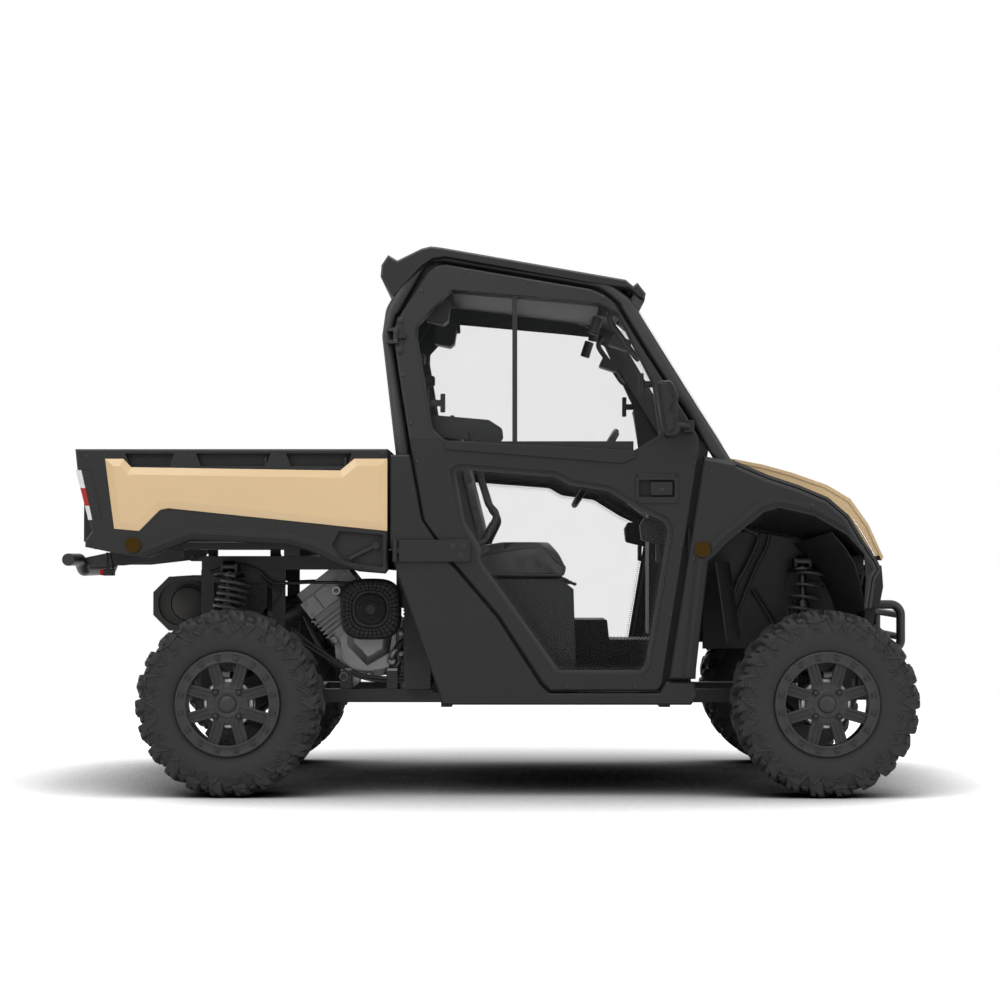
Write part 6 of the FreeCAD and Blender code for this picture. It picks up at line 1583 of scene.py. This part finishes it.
def makeRearTrim():
    look = rearLook
    block = [brick(-1.4405, -1.4050, -0.505, -0.440, 0.7985, 0.8240)]
    block += [slab(outline, y, y + look["strapWide"]) for outline, y in look["lampStraps"]]
    blackPiece("rearLampBracket", joined(block), "bed", bevel=0.0015)
    piece("rearLampLens", slab(softened(look["lens"], 0.003), -0.503, -0.442), "bed",
          extras["redPlastic"], 40)
    x, z = look["mufflerMiddle"]
    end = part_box("muffler")[0][1]
    face = revolved([(0.0, 0), (0.052, 0.0005), (0.060, 0.002), (0.062, 0.006), (0.058, 0.008),
                     (0, 0.008)], 64, (0, -1, 0), (x, end + 0.014, z))
    seam = revolved([(0.066, 0), (0.070, -0.003), (0.074, 0), (0.070, 0.003), (0.066, 0)], 64,
                    (0, -1, 0), (x, end + 0.016, z))
    heads = scattered(boltHead(0.0075, 0.007), look["mufflerBolts"], (0, 0, 1))
    piece("mufflerTrim", joined([bothSides(joined([face, seam])), heads]), "root",
          materials["black_metal"], 40)
    plates = [slab(softened(look["plate"], 0.012, 3), -0.2725, -0.2665)]
    plates += [revolved([(0.004, 0), (0.0095, 0), (0.0105, 0.0015), (0.0095, 0.0022),
                         (0.004, 0.0010)], 20, (0, -1, 0), (x, -0.2722, z))
               for x, z in look["plateHoles"]]
    piece("rearFramePlates", bothSides(joined(plates)), "root", materials["frame_black"],
          40, 0.001)
    long = tubes([look["longCable"]])
    piece("rearCables", joined([long, tubes(look["cables"]), mirrored(long)]), "root",
          extras["hose"], 50)
    print("rear trim made")


# Engine: cover plates, bolt lugs, stubs, hoses, mounts and the air box before it

engineLook = {
    "corner": (-0.6012, 0.402),              # X and Z from which the case's shares run
    "size": (0.2717, 0.2623),
    "plate": [(-0.545, 0.640), (-0.545, 0.530), (-0.470, 0.452), (-0.385, 0.500),
              (-0.372, 0.580), (-0.385, 0.640)],
    "plateRings": ((-0.002, -0.222), (0.0, -0.246), (0.004, -0.250), (0.026, -0.268),
                   (0.030, -0.269)),         # inset and Y
    "flange": ((0.02, 0.56), (0.06, 0.22), (0.26, 0.05), (0.52, 0.03), (0.84, 0.08), (0.97, 0.36),
               (0.97, 0.66)),
    "stubs": ((-0.372, -0.226, 0.470), (-0.578, -0.205, 0.735)),
    "lean": 38,                              # degrees between the cylinder and upright
    "headBolts": ((-0.098, 0.188), (-0.098, 0.236), (0.098, 0.188), (0.098, 0.236), (0.0, 0.243)),
    "webs": (-0.052, 0.052),
    "eyeArm": [(-0.575, 0.722), (-0.540, 0.716), (-0.540, 0.764), (-0.575, 0.758)],
    "hoses": [([(-0.352, -0.262, 0.516), (-0.330, -0.262, 0.540), (-0.290, -0.250, 0.552),
                (-0.240, -0.230, 0.556)], 0.0150, 16),
              ([(-0.340, -0.255, 0.480), (-0.300, -0.250, 0.430), (-0.350, -0.250, 0.412),
                (-0.400, -0.245, 0.430)], 0.0115, 14),
              ([(-0.690, -0.120, 0.705), (-0.740, -0.100, 0.660), (-0.800, -0.060, 0.640),
                (-0.860, -0.040, 0.660)], 0.026, 20),
              ([(-0.700, 0.060, 0.700), (-0.760, 0.080, 0.700), (-0.830, 0.060, 0.690)],
               0.020, 18)],
    "airBox": [(-0.322, 0.366), (-0.222, 0.366), (-0.222, 0.835), (-0.352, 0.835),
               (-0.352, 0.680), (-0.322, 0.672)],
    "airBoxHalf": 0.330,
    "ribGap": 0.014,
    "mounts": (-0.5469, -0.3703),
}


def makeEngineTrim():
    look = engineLook
    out = (0, -1, 0)
    x0, z0 = look["corner"]
    wide, tall = look["size"]
    plate = np.array(look["plate"])
    count = len(plate)
    rings = [np.stack([ring[:, 0], np.full(count, y), ring[:, 1]], 1)
             for ring, y in ((inset(plate, d), y) for d, y in look["plateRings"])]
    sides = gridSurface(np.array(rings), False, True)
    parts = [sides, (rings[-1], [list(range(count))])]
    spots = [(x0 + wide * x, -0.2265, z0 + tall * z) for x, z in look["flange"]]
    parts.append(scattered(revolved([(0, -0.012), (0.0135, -0.012), (0.0135, 0.003),
                                     (0.011, 0.005), (0, 0.005)], 20), spots, out))
    parts += [revolved([(0, 0), (0.020, 0), (0.020, 0.016), (0.016, 0.020), (0.016, 0.034),
                        (0.012, 0.036), (0, 0.036)], 28, out, spot) for spot in look["stubs"]]
    parts.append(tube([(-0.372, -0.240, 0.470), (-0.372, -0.262, 0.490), (-0.350, -0.262, 0.520)],
                      0.013, 14))
    parts.append(revolved([(0, 0), (0.017, 0), (0.017, 0.012), (0.013, 0.014), (0.0125, 0.006),
                           (0, 0.006)], 24, out, (-0.556, -0.268, 0.410)))
    piece("engineCastings", joined(parts), "root", materials["cast_aluminium"],
          35, 0.0015)
    lean = math.radians(look["lean"])
    base = np.array([x0 + wide * 0.42, z0 + tall * 0.6])
    up = np.array([-math.sin(lean), math.cos(lean)])
    across = np.array([math.cos(lean), math.sin(lean)])

    def onHead(a, u):
        x, z = base + across * a + up * u
        return x, -0.190, z

    heads = joined([scattered(boltHead(0.0070, 0.0065), [(x, y - 0.005, z) for x, y, z in spots],
                              out),
                    scattered(boltHead(0.0062, 0.006), [onHead(a, u) for a, u in look["headBolts"]],
                              out)])
    piece("engineBolts", heads, "root", extras["bolt"], 30)
    webs = [tube([onHead(a, 0.182), onHead(a, 0.244)], 0.0035, 8, smooth=False)
            for a in look["webs"]]
    piece("headWebs", joined(webs), "root", materials["cast_aluminium"], 50)
    eye = revolved([(0.0085, 0), (0.0155, 0), (0.0165, 0.003), (0.0165, 0.050), (0.0085, 0.050),
                    (0.0085, 0)], 28, out, (-0.582, -0.268, 0.740))
    piece("engineEye", eye, "root", extras["bolt"], 40)
    clip = revolved([(0.0150, 0), (0.0172, 0), (0.0172, 0.009), (0.0150, 0.009), (0.0150, 0)], 24,
                    (0.4, 0, 1), (-0.350, -0.262, 0.512))
    arm = slab(look["eyeArm"], -0.300, -0.272)
    piece("engineHoses", joined([tubes(look["hoses"]), clip, arm]), "root", extras["hose"],
          50)
    half = look["airBoxHalf"]
    box = [slab(softened(look["airBox"], 0.006), -half, half)]
    heights = np.arange(0.480, 0.820, look["ribGap"])
    box += [brick(-0.327, -0.318, -0.325, 0.325, z, z + 0.004) for z in heights]
    box += [brick(-0.316, -0.228, -0.3345, -0.3290, z, z + 0.004) for z in heights]
    piece("airBox", joined(box), "root", extras["seal"], 40)
    mounts = joined([brick(x - 0.0225, x + 0.0225, -0.2775, -0.200, 0.3625, 0.4330)
                     for x in look["mounts"]])
    piece("engineMounts", bothSides(mounts), "root", extras["hose"], 40, 0.003)
    print("engine trim made")


# Ribbed cover beside the crankcase: a soft square in plan whose face rises and falls in rings

coverLook = {
    "middle": (-0.4473, 0.6709),
    "half": 0.1158,
    "face": -0.3885,
    "back": -0.3385,
    "ribs": 36,
    "squareness": 3.2,
    "profile": ((0, 0.0030), (0.15, 0.0030), (0.16, 0.0038), (0.24, 0.0040), (0.26, 0.0020),
                (0.48, 0.0045), (0.53, 0.0140), (0.60, 0.0140), (0.64, 0.0040), (0.86, 0.0),
                (0.93, 0.004), (0.98, 0.014), (1.0, 0.024)),     # share of r and fall
    "ringGrooves": (0.20, 0.29, 0.37, 0.45, 0.72, 0.83),
    "neckRadius": 0.072,
}


def makeFanCover():
    # distance r from the middle, stretched so that r = 1 traces a square with rounded corners;
    # height follows r through knots, and falls a little in narrow radial and ring grooves
    look = coverLook
    midX, midZ = look["middle"]
    steps = look["ribs"] * 10
    turn = np.linspace(0, 2 * np.pi, steps, endpoint=False)
    power = look["squareness"]
    reach = (np.abs(np.cos(turn)) ** power + np.abs(np.sin(turn)) ** power) ** (-1 / power)
    shares = np.concatenate([np.linspace(0.0, 0.98, 99), [0.99, 0.996, 1.0]])
    fall = np.interp(shares, *zip(*look["profile"]))[:, None] + 0 * turn
    spoke = turn * look["ribs"] / (2 * np.pi)
    gap = near(spoke - np.floor(spoke), 0.5, 0.055, 0.05)
    share = shares[:, None]
    fall = fall + (0.0042 * gap * (share > 0.17) * (1 - near(share, 0.565, 0.06, 0.02))
                   * (1 - step(0.95, 0.99, share)))
    for ring in look["ringGrooves"]:
        fall = fall + 0.0030 * near(share, ring, 0.006, 0.007)
    radius = look["half"] * share * (1 + (reach - 1) * step(0.30, 0.95, share))
    grid = np.stack([midX + radius * np.cos(turn), look["face"] + fall + 0.0004,
                     midZ + radius * np.sin(turn)], -1)
    rim = grid[-1]
    skirt = []
    for y, k in ((look["back"], 1.0), (look["back"] + 0.001, 0.9), (look["back"] + 0.001, 0.3)):
        skirt.append(np.stack([midX + (rim[:, 0] - midX) * k, np.full(steps, y),
                               midZ + (rim[:, 2] - midZ) * k], 1))
    points, faces = gridSurface(np.concatenate([grid[1:], np.array(skirt)]), False, True)
    centre = np.array([[midX, look["face"] + 0.0034, midZ]])
    last = len(points)
    faces += [[last, j, (j + 1) % steps] for j in range(steps)]
    wide = look["neckRadius"]
    neck = revolved([(0, 0), (wide, 0), (wide, 0.108), (0, 0.108)], 40, (0, -1, 0),
                    (midX, -0.2310, midZ))
    collar = revolved([(0.070, 0), (0.078, 0), (0.080, 0.004), (0.080, 0.018), (0.070, 0.022)], 40,
                      (0, -1, 0), (midX, -0.300, midZ))
    made = piece("fanCover", joined([(np.concatenate([points, centre]), faces), neck, collar]),
                 "root", extras["cover"], 30)
    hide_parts("fan_cover")
    print("fan cover made")


# Bed: seams, pocket partitions, floor ribs, fixings

bedLook = {
    "seam": [(-1.3950, -0.7351, 1.262), (-1.3950, -0.7351, 1.2275)],
    "webs": (0.605, 0.860),                  # shares of the bed's length
    "floorRibs": 9,
    "ribReach": 0.52,
    "tieDowns": (-1.30, -0.48),
    "tieY": 0.655,
    "tieLoop": ((-0.030, 0, 0.950), (-0.026, 0.016, 0.975), (0, 0.022, 0.988),
                (0.026, 0.016, 0.975), (0.030, 0, 0.950)),
    "rivets": [(-1.462, 1.235), (-0.385, 1.245), (-0.40, 0.945)],
}


def makeBedTrim():
    look = bedLook
    webs = []
    for share in look["webs"]:
        x = bed([(share, 0.845)])[0][0]
        webs.append(brick(x, x + 0.010, -0.733, -0.700, 1.196, 1.232))
    blackPiece("bedPocketWebs", bothSides(joined(webs)), "bed", bevel=0.002)
    piece("bedSeams", bothSides(tube(look["seam"], 0.0011, 6, smooth=False)), "bed",
          extras["seal"], 50)
    ribs = [swept([(-0.018, -0.001), (0.018, -0.001), (0.012, 0.0045), (-0.012, 0.0045)],
                  [(-1.430, y, 0.921), (-0.41, y, 0.921)], (0, 1, 0), (0, 0, 1))
            for y in np.linspace(-look["ribReach"], look["ribReach"], look["floorRibs"])]
    blackPiece("bedFloorRibs", joined(ribs), "bed", smooth=30)
    loops = [tube([(x + dx, s * (look["tieY"] - dy), z) for dx, dy, z in look["tieLoop"]],
                  0.005, 10)
             for x in look["tieDowns"] for s in (-1, 1)]
    piece("tieDowns", joined(loops), "bed", extras["bolt"], 50)
    screws = seated(panHead(0.0075, 0.003), "bed_sides", look["rivets"])
    piece("bedRivets", bothSides(screws), "bed", extras["boltDark"], 35)
    print("bed trim made")


makeWheels()
makeSprings()
makeDoorTrim()
makeCabLining()
makeCageSleeves()
makeMirrors()
makeSeats()
makeNoseTrim()
makeRearTrim()
makeEngineTrim()
makeFanCover()
makeBedTrim()


# Camera, floor and lights

def makeStage():
    camera = bpy.data.cameras.new("camera")
    camera.lens = stage["focalLength"]
    camera.sensor_width = 36.0
    camera.clip_end = 200.0
    view = bpy.data.objects.new("camera", camera)
    view.location = stage["cameraPlace"]
    view.rotation_euler = (math.radians(90 + stage["pitchUp"]), 0, math.radians(stage["yawLeft"]))
    bpy.context.scene.collection.objects.link(view)
    bpy.context.scene.camera = view
    half = stage["floorSize"] / 2
    mesh = bpy.data.meshes.new("floor")
    mesh.from_pydata([(-half, -half, 0), (half, -half, 0), (half, half, 0), (-half, half, 0)], [],
                     [[0, 1, 2, 3]])
    s = Shader("floorPale")
    away = s.node("VectorMath", {"operation": "LENGTH"}, s.coords, out="Value")
    speck = s.noise(4.0, 3.0)
    # painted shadow: ambient occlusion darkens the floor's colour and its glow where the camera
    # sees it, standing in for the vehicle's soft shadow
    openShare = s.node("AmbientOcclusion", {"samples": 12}, out="AO",
                       Distance=stage["shadowReach"])
    shade = ((openShare - 0.12) * 1.25).clamped().power(1.9)
    ray = s.node("LightPath", {}, out="Is Camera Ray")
    glossy = s.node("LightPath", {}, out="Is Glossy Ray")
    through = s.node("LightPath", {}, out="Is Transmission Ray")
    seen = (ray + glossy + through).clamped()
    far = ((away - stage["floorWhiteFrom"]) / 2.2).clamped()
    pale = s.mix(speck, (0.80, 0.80, 0.80), (0.84, 0.84, 0.84))
    lit = s.node("BsdfPrincipled", {}, out="BSDF", Base_Color=pale, Roughness=0.9,
                 Specular_IOR_Level=0.1)
    seenLit = s.node("BsdfPrincipled", {}, out="BSDF",
                     Base_Color=s.mix(shade, (0.0, 0.0, 0.0), pale), Roughness=0.9,
                     Specular_IOR_Level=0.0)
    glow = s.node("Emission", {}, out="Emission", Color=s.mix(shade, (0, 0, 0), (1, 1, 1)),
                  Strength=0.70)
    both = s.node("AddShader", {}, seenLit, glow)
    white = s.node("Emission", {}, out="Emission", Color=(1, 1, 1), Strength=1.0)
    nearFloor = s.node("MixShader", {}, seen, lit, both)
    farFloor = s.node("MixShader", {}, seen, lit, white)
    s.node("OutputMaterial", {}, s.node("MixShader", {}, far, nearFloor, farFloor))
    mesh.materials.append(s.material)
    floor = bpy.data.objects.new("floor", mesh)
    bpy.context.scene.collection.objects.link(floor)
    for k, (place, aim, size, power) in enumerate(stage["lamps"]):
        light = bpy.data.lights.new("softLamp%d" % k, "AREA")
        light.shape = "SQUARE"
        light.size = size
        light.energy = power
        lamp = bpy.data.objects.new("softLamp%d" % k, light)
        lamp.location = place
        x, y, z = np.array(place) - np.array(aim)
        lamp.rotation_euler = (math.atan2(math.hypot(x, y), z), 0, math.atan2(y, x) + math.pi / 2)
        bpy.context.scene.collection.objects.link(lamp)
    world = bpy.data.worlds.new("studio")
    bpy.context.scene.world = world
    world.use_nodes = True
    tree = world.node_tree
    tree.nodes.clear()
    path = tree.nodes.new("ShaderNodeLightPath")
    total = tree.nodes.new("ShaderNodeMath")
    total.operation = "MAXIMUM"
    more = tree.nodes.new("ShaderNodeMath")
    more.operation = "MAXIMUM"
    tree.links.new(path.outputs["Is Camera Ray"], total.inputs[0])
    tree.links.new(path.outputs["Is Transmission Ray"], total.inputs[1])
    tree.links.new(total.outputs[0], more.inputs[0])
    tree.links.new(path.outputs["Is Glossy Ray"], more.inputs[1])
    dim = tree.nodes.new("ShaderNodeBackground")
    dim.inputs["Color"].default_value = (1, 1, 1, 1)
    dim.inputs["Strength"].default_value = stage["skyStrength"]
    full = tree.nodes.new("ShaderNodeBackground")
    full.inputs["Color"].default_value = (1, 1, 1, 1)
    full.inputs["Strength"].default_value = 1.0
    choose = tree.nodes.new("ShaderNodeMixShader")
    out = tree.nodes.new("ShaderNodeOutputWorld")
    tree.links.new(more.outputs[0], choose.inputs[0])
    tree.links.new(dim.outputs[0], choose.inputs[1])
    tree.links.new(full.outputs[0], choose.inputs[2])
    tree.links.new(choose.outputs[0], out.inputs["Surface"])
    bpy.context.scene.view_settings.view_transform = "Standard"
    print("stage made")


makeStage()
